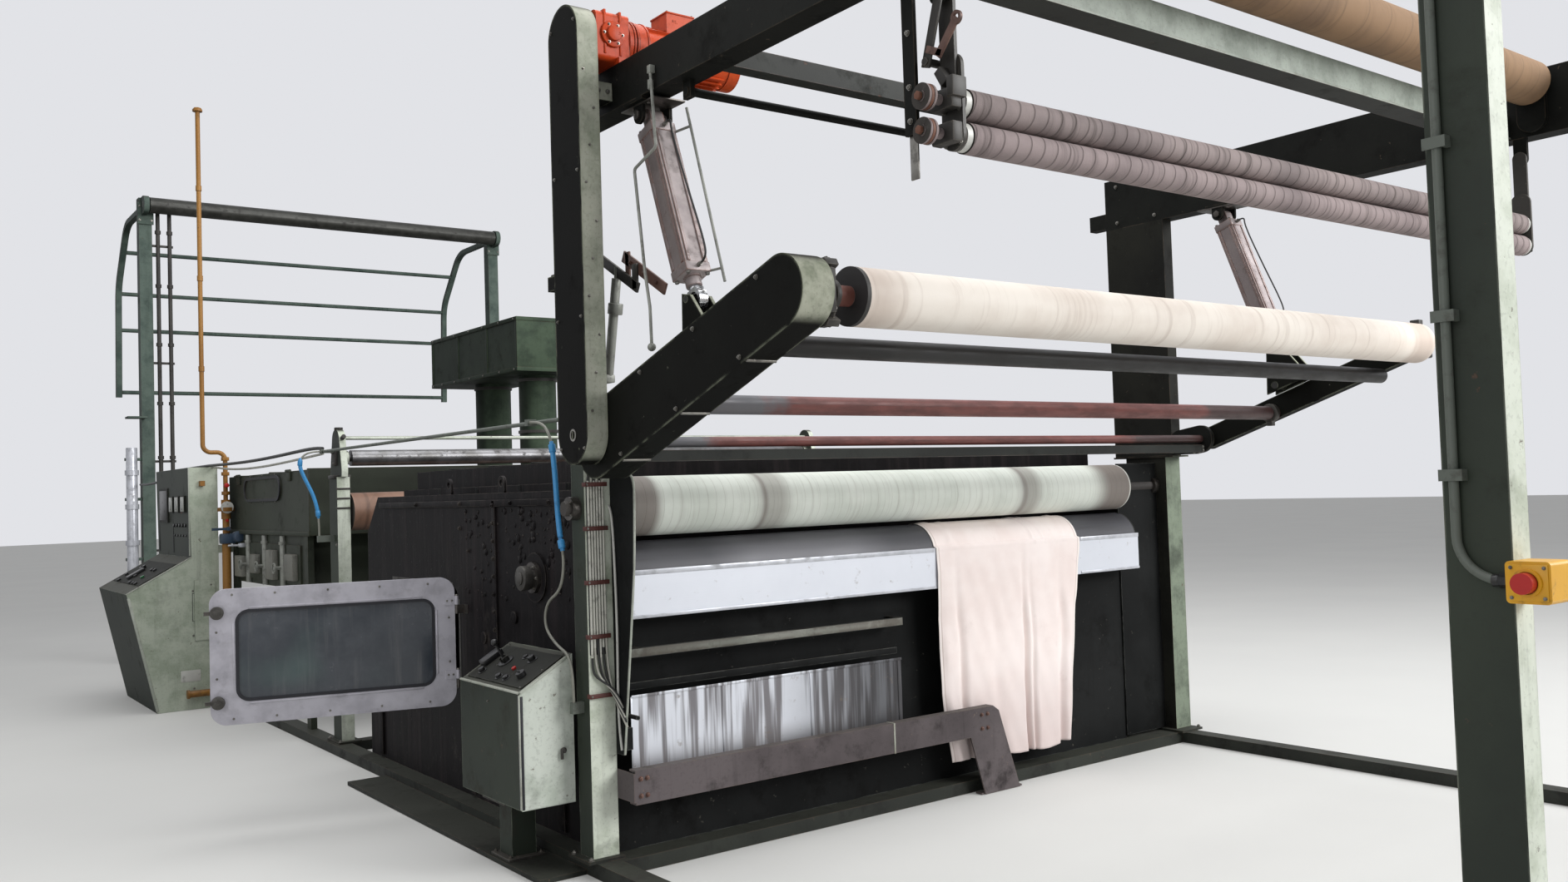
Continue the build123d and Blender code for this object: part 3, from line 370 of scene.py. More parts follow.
# axes across the line, as Y and Z
axes = {
    "draw": (0.070, 1.488), "press": (-1.490, 2.160), "pivot": (-0.262, 1.745), "lowWrap": (-2.045, 2.543),
    "highWrap": (-2.045, 2.641), "batch": (-2.110, 3.280), "brown": (3.405, 1.482), "squeeze": (0.665, 1.176),
}
wounds = {
    "drawCover": {"axis": axes["draw"], "pitch": 0.044, "base": tint(228, 233, 224),
        "shade": tint(212, 218, 208), "stain": tint(166, 164, 154), "rings": 0.3, "seam": 0.07,
        "seamDepth": 0.3, "bands": [(-1.85, -1.625, 0.03, 0.85), (-1.105, -0.945, 0.05, 0.5),
        (-1.09, -1.065, 0.012, 0.55), (0.575, 0.725, 0.05, 0.55), (0.59, 0.625, 0.015, 0.5),
        (1.22, 1.60, 0.09, 0.9)], "ends": [(-2.1, -1.7902, tint(74, 70, 66)),
        (1.461, 1.4702, tint(206, 206, 200)), (1.4702, 2.1, tint(52, 48, 46))],
        "bandTint": tint(112, 100, 94)},
    "pressCover": {"axis": axes["press"], "pitch": 0.9, "base": tint(238, 230, 220),
        "shade": tint(224, 213, 202), "stain": tint(176, 158, 144), "rings": 0.4, "seam": 0.004,
        "seamDepth": 0.1, "ringScale": 22, "bands": [(-1.76, -1.64, 0.06, 0.38), (-1.60, -1.585, 0.008, 0.25),
        (1.72, 1.90, 0.05, 0.6)], "bandTint": tint(170, 148, 134),
        "ends": [(-1.99, -1.7605, tint(112, 66, 56)), (-1.7605, -1.744, tint(46, 44, 42)),
        (1.9005, 1.99, tint(70, 56, 50))], "faceTint": tint(40, 38, 38), "rough": 0.55},
    "lowWrap": {"axis": axes["lowWrap"], "pitch": 0.058, "base": tint(146, 132, 131),
        "shade": tint(118, 106, 106), "stain": tint(84, 74, 72), "rings": 0.75, "seam": 0.14,
        "seamDepth": 0.38, "rough": 0.78, "ridge": -1.0, "depth": 0.003},
    "highWrap": {"axis": axes["highWrap"], "pitch": 0.062, "base": tint(142, 129, 127),
        "shade": tint(114, 103, 102), "stain": tint(80, 71, 68), "rings": 0.75, "seam": 0.14,
        "seamDepth": 0.38, "rough": 0.78, "ridge": -1.0, "depth": 0.003},
    "boardTube": {"axis": axes["batch"], "pitch": 0.16, "base": tint(132, 104, 76),
        "shade": tint(112, 88, 66), "stain": tint(78, 62, 48), "rings": 0.35, "seam": 0.03, "seamDepth": 0.6,
        "faceTint": tint(190, 184, 172), "rough": 0.8},
    "copperRoller": {"axis": axes["brown"], "pitch": 0.5, "base": tint(136, 104, 86),
        "shade": tint(116, 84, 66), "stain": tint(64, 46, 36), "rings": 0.5, "seam": 0.01, "rough": 0.5},
}
for woundName, woundLook in wounds.items():
    finishes[woundName] = woundRoller(woundName, woundLook)


def scuffedGuide(name, dark):
    s = Surface(name)
    x = s.part("X")
    cloud = s.step(s.noise(1.0, 5, 0.65, s.stretched((6, 22, 22))), 0.38, 0.66)
    colour = s.mix(cloud, tint(126, 72, 66), tint(104, 62, 58))
    lines = s.step(s.noise(1.0, 4, 0.7, s.stretched((2, 60, 60))), 0.55, 0.7)
    colour = s.mix(lines * 0.5, colour, tint(64, 50, 48))
    bare = 1 - s.step(x + 0.5 * s.noise(7, 3), -1.32, -1.16)
    colour = s.mix(bare * 0.9, colour, tint(104, 108, 112))
    right = s.step(x + 0.5 * s.noise(9, 3), 1.35, 1.62)
    colour = s.mix(right * 0.8, colour, tint(44, 40, 40))
    # above the given height the tube is near-black: partly its dark paint, partly painted shade under the
    # press roller
    colour = s.mix((s.part("Z") > dark), colour, s.mix(cloud, tint(18, 17, 16), tint(30, 28, 26)))
    return s.finish(colour, 0.40 + 0.2 * cloud, cloud * 0.4 + lines * 0.4, 0.0005, metal=0.2 * bare)


finishes["scuffedGuide"] = scuffedGuide("scuffedGuide", 9.0)
finishes["armTubes"] = scuffedGuide("armTubes", 1.93)


# tar and dye crust on the bath
def tarCoat():
    s = Surface("tarCoat")
    lumps = s.noise(7, 7, 0.7)
    runs = s.step(s.noise(1.0, 5, 0.62, s.stretched((16, 16, 1.1))), 0.45, 0.72)
    colour = s.mix(s.step(lumps, 0.4, 0.66), tint(18, 16, 17), tint(29, 27, 28))
    colour = s.mix(runs * 0.5, colour, tint(50, 43, 44))
    drops = s.step(s.noise(34, 4, 0.7), 0.62, 0.70)
    height = s.band(s.part("Z"), 1.12, 1.42, 0.08)
    colour = s.mix(drops * height * 0.9, colour, tint(12, 11, 11))
    pale = s.step(s.noise(4.5, 5, 0.7), 0.58, 0.75) * (1 - s.step(s.part("Z"), 0.9, 1.3))
    colour = s.mix(pale * 0.4, colour, tint(86, 80, 76))
    rub = s.edge(0.006) * s.step(s.noise(9, 3), 0.35, 0.6)
    colour = s.mix(rub * 0.6, colour, tint(110, 104, 98))
    rough = 0.42 + 0.3 * lumps - 0.2 * drops
    return s.finish(colour, rough, lumps * 0.8 + drops * height * 1.4 + runs * 0.3, 0.0022,
        fixed={"Specular IOR Level": 0.10})


def satinCover():
    s = Surface("satinCover")
    cloud = s.noise(2.0, 4, 0.6)
    marks = s.step(s.noise(1.0, 5, 0.65, s.stretched((2, 26, 26))), 0.52, 0.7)
    colour = s.mix(cloud, tint(54, 54, 58), tint(76, 76, 80))
    colour = s.mix(marks * 0.4, colour, tint(48, 46, 48))
    dust = s.step(s.facing("Z"), 0.3, 0.95)
    colour = s.mix(dust * 0.22, colour, tint(116, 116, 122))
    # painted reflection: a lighter band across the middle of the cover
    paintedReflection = s.band(s.part("X") + 0.2 * s.noise(2, 2), -1.15, -0.35, 0.16)
    colour = s.mix(paintedReflection * 0.5, colour, tint(128, 128, 132))
    return s.finish(colour, 0.36 + 0.25 * cloud, cloud * 0.5 + marks * 0.3, 0.0006, metal=0.25)


def clothWeave():
    s = Surface("clothWeave")
    threads = s.node("ShaderNodeUVMap", {"uv_map": "threads"}, None, out="UV")
    across = s.node("ShaderNodeSeparateXYZ", None, {0: threads}, out="X")
    warp = s.noise(1.0, 2, 0.5, s.stretched((900, 900, 40)))
    weft = s.noise(1.0, 2, 0.5, s.stretched((60, 60, 900)))
    cloud = s.noise(2.6, 4, 0.6)
    colour = s.mix(s.step(cloud, 0.35, 0.7), tint(247, 236, 232), tint(238, 223, 218))
    hems = s.band(across, 0.014, 0.019, 0.001) + s.band(across, 1.045, 1.050, 0.001)
    edges = (1 - s.step(across, 0.010, 0.018)) + s.step(across, 1.046, 1.054)
    colour = s.mix(edges * 0.5, colour, tint(250, 244, 238))
    colour = s.mix(hems * 0.55, colour, tint(186, 166, 158))
    grey = s.step(s.noise(7, 5, 0.7), 0.60, 0.76)
    colour = s.mix(grey * 0.2, colour, tint(200, 182, 176))
    # painted shadow: the cloth darkens towards the bottom
    low = 1 - s.step(s.part("Z"), 0.20, 0.75)
    colour = s.mix(low * 0.45, colour, tint(178, 158, 156))
    return s.finish(colour, 0.86, warp * 0.6 + weft * 0.6 + cloud * 0.5, 0.0007, fixed={"Sheen Weight": 0.2})


def hoseSkin(name, colour, shade, rough):
    s = Surface(name)
    cloud = s.noise(14, 4, 0.6)
    dirt = s.step(s.noise(28, 5, 0.7), 0.55, 0.7)
    mixed = s.mix(cloud, colour, shade)
    mixed = s.mix(dirt * 0.35, mixed, tint(60, 58, 54))
    return s.finish(mixed, rough + 0.2 * dirt, cloud * 0.5 + dirt * 0.3, 0.0004)


def pipesAndLoom():
    s = Surface("pipesAndLoom")
    loom = s.band(s.part("Y"), -0.020, 0.0002, 0.0005)
    dirt = s.step(s.noise(26, 5, 0.7), 0.5, 0.7)
    colour = s.mix(loom, tint(92, 98, 90), tint(200, 200, 190))
    colour = s.mix(dirt * 0.5, colour, tint(62, 58, 52))
    return s.finish(colour, 0.5 + 0.2 * dirt, dirt, 0.0003)


def smokyGlass():
    s = Surface("smokyGlass")
    haze = s.step(s.noise(3.0, 5, 0.65), 0.35, 0.75)
    runs = s.step(s.noise(1.0, 4, 0.6, s.stretched((26, 26, 2))), 0.5, 0.75)
    colour = s.mix(haze, tint(58, 64, 72), tint(84, 88, 94))
    colour = s.mix(runs * 0.4, colour, tint(108, 108, 110))
    # painted reflection: a green patch in the upper part of the glass
    patch = s.step(s.noise(1.3, 2, 0.4), 0.46, 0.62) * s.band(s.part("Z"), 0.70, 0.98, 0.08)
    colour = s.mix(patch * 0.55, colour, tint(104, 140, 130))
    return s.finish(colour, 0.10 + 0.25 * haze, haze * 0.3, 0.0002,
        fixed={"Alpha": 1.0, "Specular IOR Level": 0.6})


finishes["tarCoat"] = tarCoat()
finishes["satinCover"] = satinCover()
finishes["clothWeave"] = clothWeave()
finishes["smokyGlass"] = smokyGlass()
finishes["pipesAndLoom"] = pipesAndLoom()
skins = {
    "blueHose": (tint(70, 156, 212), tint(48, 130, 190), 0.38),
    "hoseLine": (tint(150, 150, 140), tint(116, 116, 106), 0.45),
    "beltLeather": (tint(122, 78, 58), tint(84, 54, 42), 0.7),
    "greyCable": (tint(196, 196, 186), tint(152, 150, 140), 0.5),
    "blackCable": (tint(38, 38, 38), tint(26, 26, 26), 0.5),
    "sealRubber": (tint(34, 35, 42), tint(22, 22, 27), 0.6),
    "blackPlastic": (tint(30, 30, 31), tint(22, 22, 22), 0.35),
    "greenPlastic": (tint(36, 116, 62), tint(28, 92, 50), 0.35),
    "yellowPlastic": (tint(232, 176, 34), tint(212, 154, 26), 0.38),
    "redPlastic": (tint(196, 38, 32), tint(166, 30, 28), 0.32),
    "whitePlastic": (tint(206, 206, 200), tint(182, 182, 176), 0.4),
    "rustStrap": (tint(92, 46, 40), tint(70, 37, 33), 0.6),
    "blueMetal": (tint(66, 84, 104), tint(50, 66, 84), 0.42),
    "meterFace": (tint(176, 178, 170), tint(150, 152, 144), 0.3),
}
for skinName, skin in skins.items():
    finishes[skinName] = hoseSkin(skinName, *skin)
print("finishes made:", len(finishes))


# which finish each frame node takes
dress = {
    "framePaint": ["posts", "mid_posts"],
    "railPaint": ["base_frame"],
    "beamPaint": ["top_beams", "beam_brackets"],
    "uprightPaint": ["far_upright"],
    "crossPaint": ["cross_beams"],
    "armPaint": ["arm_near_case", "arm_far_bar"],
    "armTubes": ["arm_tubes"],
    "guardPaint": ["drive_guard"],
    "hoodPaint": ["singe_hood", "burner_case"],
    "consolePaint": ["console"],
    "deskPaint": ["desk"],
    "panelPaint": ["control_panels"],
    "towerPaint": ["tower"],
    "exhaustPaint": ["exhaust"],
    "orangePaint": ["gear_motor"],
    "gasPaint": ["gas_line"],
    "recessPaint": ["recess_panels"],
    "plankPaint": ["step_rail"],
    "castPaint": ["plaiter_plates"],
    "sheetSteel": ["fascia_panels"],
    "oilySteel": ["roller_bearings", "hatch_hinges", "hatch_latch_high", "hatch_latch_low"],
    "rollerSteel": ["squeeze_roller", "bath_roller", "rear_guide_roller"],
    "darkTube": ["tower_roller"],
    "rodChrome": ["cylinder_rod_near", "cylinder_rod_far"],
    "cylinderAlloy": ["cylinder_barrel_near", "cylinder_barrel_far"],
    "hatchAlloy": ["hatch_frame"],
    "tarCoat": ["tank", "tank_cover"],
    "satinCover": ["round_cover"],
    "clothWeave": ["cloth"],
    "smokyGlass": ["hatch_glass"],
    "sealRubber": ["hatch_seal"],
    "pipesAndLoom": ["cables"],
    "blueHose": ["near_hose", "rear_hose"],
    "yellowPlastic": ["stop_box"],
    "redPlastic": ["stop_button"],
    "greenPlastic": ["console_button"],
    "blackPlastic": ["console_dial", "desk_knob", "desk_lever"],
    "blueMetal": ["gas_handle"],
    "drawCover": ["draw_roller"],
    "pressCover": ["press_roller"],
    "lowWrap": ["plaiter_roller_low"],
    "highWrap": ["plaiter_roller_high"],
    "boardTube": ["batch_roller"],
    "copperRoller": ["brown_roller"],
    "scuffedGuide": ["arm_guide_roller"],
}
for finishName, dressed in dress.items():
    for nodeName in dressed:
        slots = cadNodes[nodeName].data.materials
        for index in range(len(slots)):
            slots[index] = finishes[finishName]
        if not slots:
            slots.append(finishes[finishName])
undressed = set(cadNodes) - {nodeName for dressed in dress.values() for nodeName in dressed}
print("nodes without a finish:", sorted(undressed))


# shared ways of making a piece
def newPiece(bm, name, finish, body, sharp=38):
    bmesh.ops.recalc_face_normals(bm, faces=bm.faces)
    mesh = bpy.data.meshes.new(name)
    bm.to_mesh(mesh)
    bm.free()
    mesh.materials.append(finishes[finish])
    for face in mesh.polygons:
        face.use_smooth = True
    mesh.set_sharp_from_angle(angle=math.radians(sharp))
    piece = bpy.data.objects.new(name, mesh)
    bpy.context.scene.collection.objects.link(piece)
    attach(piece, body)
    return piece


def softened(bm, made, edges, bevel):
    grown = bmesh.ops.bevel(bm, geom=edges, offset=bevel, offset_type="OFFSET", affect="EDGES",
        segments=2, profile=0.5, material=-1)
    kept = {vert for vert in made if vert.is_valid}
    return list({vert for face in grown["faces"] for vert in face.verts} | kept)


def addBox(bm, low, high, bevel=0.0, turn=None):
    made = bmesh.ops.create_cube(bm, size=1.0)["verts"]
    size = [high[i] - low[i] for i in range(3)]
    centre = Vector([(high[i] + low[i]) / 2 for i in range(3)])
    bmesh.ops.scale(bm, vec=size, verts=made)
    if bevel:
        edges = list({edge for vert in made for edge in vert.link_edges})
        made = softened(bm, made, edges, bevel)
    bmesh.ops.translate(bm, vec=centre, verts=made)
    if turn is not None:
        bmesh.ops.transform(bm, matrix=turn, verts=made)
    return made


def addRod(bm, start, end, radius, sides=20, bevel=0.0, endRadius=None, turn=None):
    start, end = Vector(start), Vector(end)
    way = end - start
    made = bmesh.ops.create_cone(bm, cap_ends=True, segments=sides, radius1=radius,
        radius2=radius if endRadius is None else endRadius, depth=way.length)["verts"]
    if bevel:
        edges = {edge for vert in made for edge in vert.link_edges}
        rims = [edge for edge in edges if len({round(vert.co.z, 6) for vert in edge.verts}) == 1]
        made = softened(bm, made, rims, bevel)
    place = Matrix.Translation((start + end) / 2) @ way.to_track_quat("Z", "Y").to_matrix().to_4x4()
    bmesh.ops.transform(bm, matrix=turn @ place if turn is not None else place, verts=made)
    return made


def addBolt(bm, place, way, size, turn=None):
    place, way = Vector(place), Vector(way).normalized()
    addRod(bm, place - way * 0.001, place + way * size * 0.16, size * 1.05, 14, turn=turn)
    addRod(bm, place + way * size * 0.16, place + way * size * 0.80, size * 0.86, 6, bevel=size * 0.08,
        turn=turn)
    addRod(bm, place + way * size * 0.80, place + way * size * 1.15, size * 0.42, 10, turn=turn)


# places round an axis across the line, a part of a full turn apart or at angles given
def ringSpots(x, axis, radius, angles):
    return [(x, axis[0] + radius * math.cos(a), axis[1] + radius * math.sin(a)) for a in angles]


def evenAngles(count):
    return [2 * math.pi * k / count for k in range(count)]


def boltSet(name, places, way, size, body, finish="boltSteel"):
    bm = bmesh.new()
    for place in places:
        addBolt(bm, place, way, size)
    return newPiece(bm, name, finish, body)


def addRing(bm, centre, way, radius, thick, wide, steps=32):
    way = Vector(way).normalized()
    side = way.orthogonal().normalized()
    centre = Vector(centre)
    corner = [bm.verts.new(centre + side * (radius + a) + way * b) for a,
        b in ((0, -wide / 2), (thick, -wide / 2), (thick, wide / 2), (0, wide / 2))]
    edges = [bm.edges.new((corner[i], corner[(i + 1) % 4])) for i in range(4)]
    bmesh.ops.spin(bm, geom=corner + edges, cent=centre, axis=way, angle=2 * math.pi, steps=steps,
        use_merge=True)
    bmesh.ops.remove_doubles(bm, verts=bm.verts, dist=0.00001)


def makeTube(name, points, radius, finish, body, smooth=3):
    curve = bpy.data.curves.new(name, "CURVE")
    curve.dimensions = "3D"
    curve.bevel_depth, curve.bevel_resolution, curve.resolution_u = radius, 3, 8
    curve.use_fill_caps = True
    line = curve.splines.new("NURBS")
    line.points.add(len(points) - 1)
    for spot, point in zip(line.points, points):
        spot.co = (*point, 1.0)
    line.order_u = smooth
    line.use_endpoint_u = True
    curve.materials.append(finishes[finish])
    piece = bpy.data.objects.new(name, curve)
    bpy.context.scene.collection.objects.link(piece)
    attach(piece, body)
    return piece


def bentPipe(name, corners, radius, bend, finish, body):
    points = [corners[0]]
    for before, corner, after in zip(corners, corners[1:], corners[2:]):
        at = Vector(corner)
        points += [at + (Vector(before) - at).normalized() * bend, at,
            at + (Vector(after) - at).normalized() * bend]
    points.append(corners[-1])
    spaced = [points[0]]
    for one, two in zip(points, points[1:]):
        one, two = Vector(one), Vector(two)
        if (two - one).length > bend * 1.5:
            spaced += [one.lerp(two, 0.02), one.lerp(two, 0.98)]
        spaced.append(two)
    return makeTube(name, [tuple(point) for point in spaced], radius, finish, body)


# air hoses: thin line below, thick blue sleeve above, with its ferrules
hoses = {
    "near": {"x": -1.990, "line": [(0.400, 1.862), (0.290, 1.862), (0.205, 1.790), (0.178, 1.660),
        (0.166, 1.520), (0.150, 1.390), (0.110, 1.270), (0.150, 1.150), (0.285, 1.095), (0.310, 0.990),
        (0.205, 0.922), (0.088, 0.890), (0.060, 0.790), (0.060, 0.700)], "length": 1.523,
        "sleeve": (0.16, 0.42)},
    "rear": {"y": 3.405, "line": [(-1.975, 1.862), (-2.065, 1.862), (-2.110, 1.785), (-2.070, 1.690),
        (-2.020, 1.590), (-1.990, 1.470), (-1.990, 1.340)], "length": 0.634, "sleeve": (0.28, 0.90)},
}
hoseRadius = 0.006


def centreOf(piece):
    curve = piece.data.copy()
    curve.bevel_depth = 0
    bare = bpy.data.objects.new("bareLine", curve)
    bpy.context.scene.collection.objects.link(bare)
    bpy.context.view_layer.update()
    mesh = bpy.data.meshes.new_from_object(bare.evaluated_get(bpy.context.evaluated_depsgraph_get()))
    spots = [vert.co.copy() for vert in mesh.vertices]
    bpy.data.objects.remove(bare)
    bpy.data.meshes.remove(mesh)
    return spots


def makeHose(side, spec):
    points = [(spec["x"], a, b) if "x" in spec else (a, spec["y"], b) for a, b in spec["line"]]
    name = side + "Hose"
    hose = makeTube(name, points, hoseRadius, "hoseLine", "frame")
    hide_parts(side + "_hose")
    spots = centreOf(hose)
    first, last = [int(share * (len(spots) - 1)) for share in spec["sleeve"]]
    sleeve = makeTube(side + "HoseSleeve", spots[first:last:3], 0.0115, "blueHose", "frame")
    bm = bmesh.new()
    for index in (first, last - 1):
        away = (spots[index + 1] - spots[index]).normalized()
        addRod(bm, spots[index] - away * 0.018, spots[index] + away * 0.018, 0.0145, 18, bevel=0.003)
        addRod(bm, spots[index] - away * 0.030, spots[index] + away * 0.030, 0.009, 6, bevel=0.001)
    ferrules = newPiece(bm, side + "HoseFerrules", "blueHose", "frame")


for side, spec in hoses.items():
    makeHose(side, spec)
print("hoses made")


# cloth laid over the round cover and gathered into folds as it hangs
clothSpec = {
    "left": -0.061, "right": 1.003, "front": -0.0650, "low": 0.156, "top": 1.2275, "back": 1.195,
    "centre": (0.095, 1.195), "radius": 0.1470, "across": 190, "cell": 0.010,
    # height, left edge and right edge of the hanging part
    "sides": [(1.2275, -0.061, 1.003), (0.980, -0.060, 0.967), (0.730, -0.057, 0.950), (0.500, -0.045, 0.932),
        (0.280, -0.010, 0.915), (0.150, 0.012, 0.905)],
    # place across, width and share of the depth of each fold
    "folds": [(0.0, 0.030, 0.55), (0.135, 0.022, 0.80), (0.375, 0.040, 0.22), (0.600, 0.017, 1.00),
        (0.652, 0.015, 0.50), (0.880, 0.028, 0.70), (1.0, 0.035, 0.80)],
    "deepest": 0.080, "shallow": 0.008,
}


def clothPath():
    cy, cz = clothSpec["centre"]
    radius = clothSpec["radius"]
    path = [(cy + radius, clothSpec["back"] + 0.004)]
    start, end = 0.02, math.pi - math.asin((clothSpec["top"] - cz) / radius) - 0.02
    steps = int(radius * (end - start) / clothSpec["cell"])
    for i in range(1, steps + 1):
        angle = start + (end - start) * i / steps
        path.append((cy + radius * math.cos(angle), cz + radius * math.sin(angle)))
    path.append((clothSpec["front"] + 0.010, clothSpec["top"] + 0.001))
    path.append((clothSpec["front"] - 0.001, clothSpec["top"] - 0.004))
    drop = clothSpec["top"] - 0.014 - clothSpec["low"]
    rows = int(drop / clothSpec["cell"])
    path += [(clothSpec["front"], clothSpec["top"] - 0.014 - drop * i / rows) for i in range(rows + 1)]
    return path


def clothSides(z):
    rows = clothSpec["sides"]
    for high, low in zip(rows, rows[1:]):
        if z >= low[0]:
            share = max(0.0, min(1.0, (high[0] - z) / (high[0] - low[0])))
            return [high[k] + (low[k] - high[k]) * share for k in (1, 2)]
    return rows[-1][1:]


# one row of the hanging cloth: folds just deep enough to take up its whole width
def clothRow(z, width, count):
    left, right = clothSides(z)
    fall = max(0.0, min(1.0, (1.0 - z) / 0.40))
    most = clothSpec["shallow"] + (clothSpec["deepest"] - clothSpec["shallow"]) * fall * fall * (3 - 2 * fall)
    drift = 0.010 * math.sin(z * 4.2) + 0.006 * math.sin(z * 9.1 + 1.0)
    fine = 600
    shape = []
    for i in range(fine + 1):
        share = i / fine
        deep = 0.0
        for place, wide, part in clothSpec["folds"]:
            middle = place if place in (0.0, 1.0) else place + drift * (1 + place)
            deep += part * math.exp(-(((share - middle) / wide) ** 2))
        shape.append((left + (right - left) * share, deep))

    def spread(depth):
        return sum(math.hypot(b[0] - a[0], depth * (b[1] - a[1])) for a, b in zip(shape, shape[1:]))

    low, high = 0.0, most
    for turn in range(14):
        depth = (low + high) / 2
        low, high = (depth, high) if spread(depth) < width else (low, depth)
    total = spread(depth)
    spots, run, k = [shape[0]], 0.0, 0
    for i in range(1, count):
        while k < fine - 1 and run + math.hypot(shape[k + 1][0] - shape[k][0],
            depth * (shape[k + 1][1] - shape[k][1])) < total * i / count:
            run += math.hypot(shape[k + 1][0] - shape[k][0], depth * (shape[k + 1][1] - shape[k][1]))
            k += 1
        step = math.hypot(shape[k + 1][0] - shape[k][0], depth * (shape[k + 1][1] - shape[k][1]))
        share = (total * i / count - run) / step
        spots.append(tuple(shape[k][j] + (shape[k + 1][j] - shape[k][j]) * share for j in (0, 1)))
    spots.append(shape[-1])
    forward = 0.0006 + min(depth, clothSpec["shallow"])
    return [(x, clothSpec["front"] - forward + depth * deep) for x, deep in spots]


def makeCloth():
    path = clothPath()
    runs = [math.dist(a, b) for a, b in zip(path, path[1:])]
    width = clothSpec["right"] - clothSpec["left"]
    bm = bmesh.new()
    count = clothSpec["across"]
    row = [bm.verts.new((clothSpec["left"] + width * i / count, *path[0])) for i in range(count + 1)]
    edges = [bm.edges.new((a, b)) for a, b in zip(row, row[1:])]
    threads = bm.loops.layers.uv.new("threads")
    cells = {vert: (i / count * width, 0.0) for i, vert in enumerate(row)}
    run = 0.0
    for before, spot, gone in zip(path, path[1:], runs):
        grown = bmesh.ops.extrude_edge_only(bm, edges=edges)["geom"]
        verts = [item for item in grown if isinstance(item, bmesh.types.BMVert)]
        edges = [item for item in grown if isinstance(item, bmesh.types.BMEdge)]
        bmesh.ops.translate(bm, vec=(0, spot[0] - before[0], spot[1] - before[1]), verts=verts)
        run += gone
        verts.sort(key=lambda vert: vert.co.x)
        cells.update({vert: (i / count * width, run) for i, vert in enumerate(verts)})
        if spot[0] <= clothSpec["front"] and spot[1] < clothSpec["top"] - 0.010:
            places = clothRow(spot[1], width, count)
            ease = max(0.0, min(1.0, (clothSpec["top"] - spot[1]) / 0.12))
            cells.update({vert: (i / count * width, run, places[i], ease) for i, vert in enumerate(verts)})
    for face in bm.faces:
        for loop in face.loops:
            loop[threads].uv = cells[loop.vert][:2]
    cy, cz = clothSpec["centre"]
    for vert, cell in cells.items():
        x, y, z = vert.co
        across = cell[0] / width
        if len(cell) > 2:  # the hanging part takes its row's folds, and its hem waves a little
            (rowX, rowY), ease = cell[2], cell[3]
            vert.co.x = x + (rowX - x) * ease
            vert.co.y = min(y - 0.0006, y + (rowY - y) * ease) if z > 1.02 else rowY
            hang = max(0.0, min(1.0, (1.1 - z) / 0.9))
            vert.co.y -= 0.0012 * (1 + math.sin(x * 57 + z * 21)) * ease
            vert.co.z += 0.012 * hang * math.sin(across * 6.0 + 0.6) + 0.004 * hang * math.sin(across * 23.0)
            vert.co.x += 0.004 * hang * math.sin(z * 11.0 + across * 5)
        else:  # creases where it lies on the cover
            angle = math.atan2(z - cz, y - cy)
            lift = 0.0006
            for place, lean, wide, high in ((0.05, 0.05, 0.020, 0.0045), (0.17, -0.05, 0.016, 0.0030),
                (0.64, 0.02, 0.010, 0.0060), (0.70, 0.03, 0.008, 0.0040), (0.93, -0.03, 0.018, 0.0045)):
                lift += high * math.exp(-(((across - place - lean * (angle - 1.4)) / wide) ** 2))
            vert.co.y += lift * math.cos(angle)
            vert.co.z += lift * abs(math.sin(angle))
    cloth = newPiece(bm, "drapedCloth", "clothWeave", "frame", sharp=180)
    thick = cloth.modifiers.new("thickness", "SOLIDIFY")
    thick.thickness, thick.offset = 0.0012, 1.0
    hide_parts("cloth")


makeCloth()


# points along the press arm, from its pivot towards the roller
armSpec = {"pivot": axes["pivot"], "tip": axes["press"], "outer": -2.038, "inner": -1.912, "low": 0.141,
    "high": 0.118}
armWay = Vector((armSpec["tip"][0] - armSpec["pivot"][0],
    armSpec["tip"][1] - armSpec["pivot"][1])).normalized()


def armPoint(along, rise):
    return (armSpec["pivot"][0] + armWay.x * along + armWay.y * rise,
        armSpec["pivot"][1] + armWay.y * along - armWay.x * rise)


def armEdge(share):
    return armSpec["low"] + (armSpec["high"] - armSpec["low"]) * share / 1.296


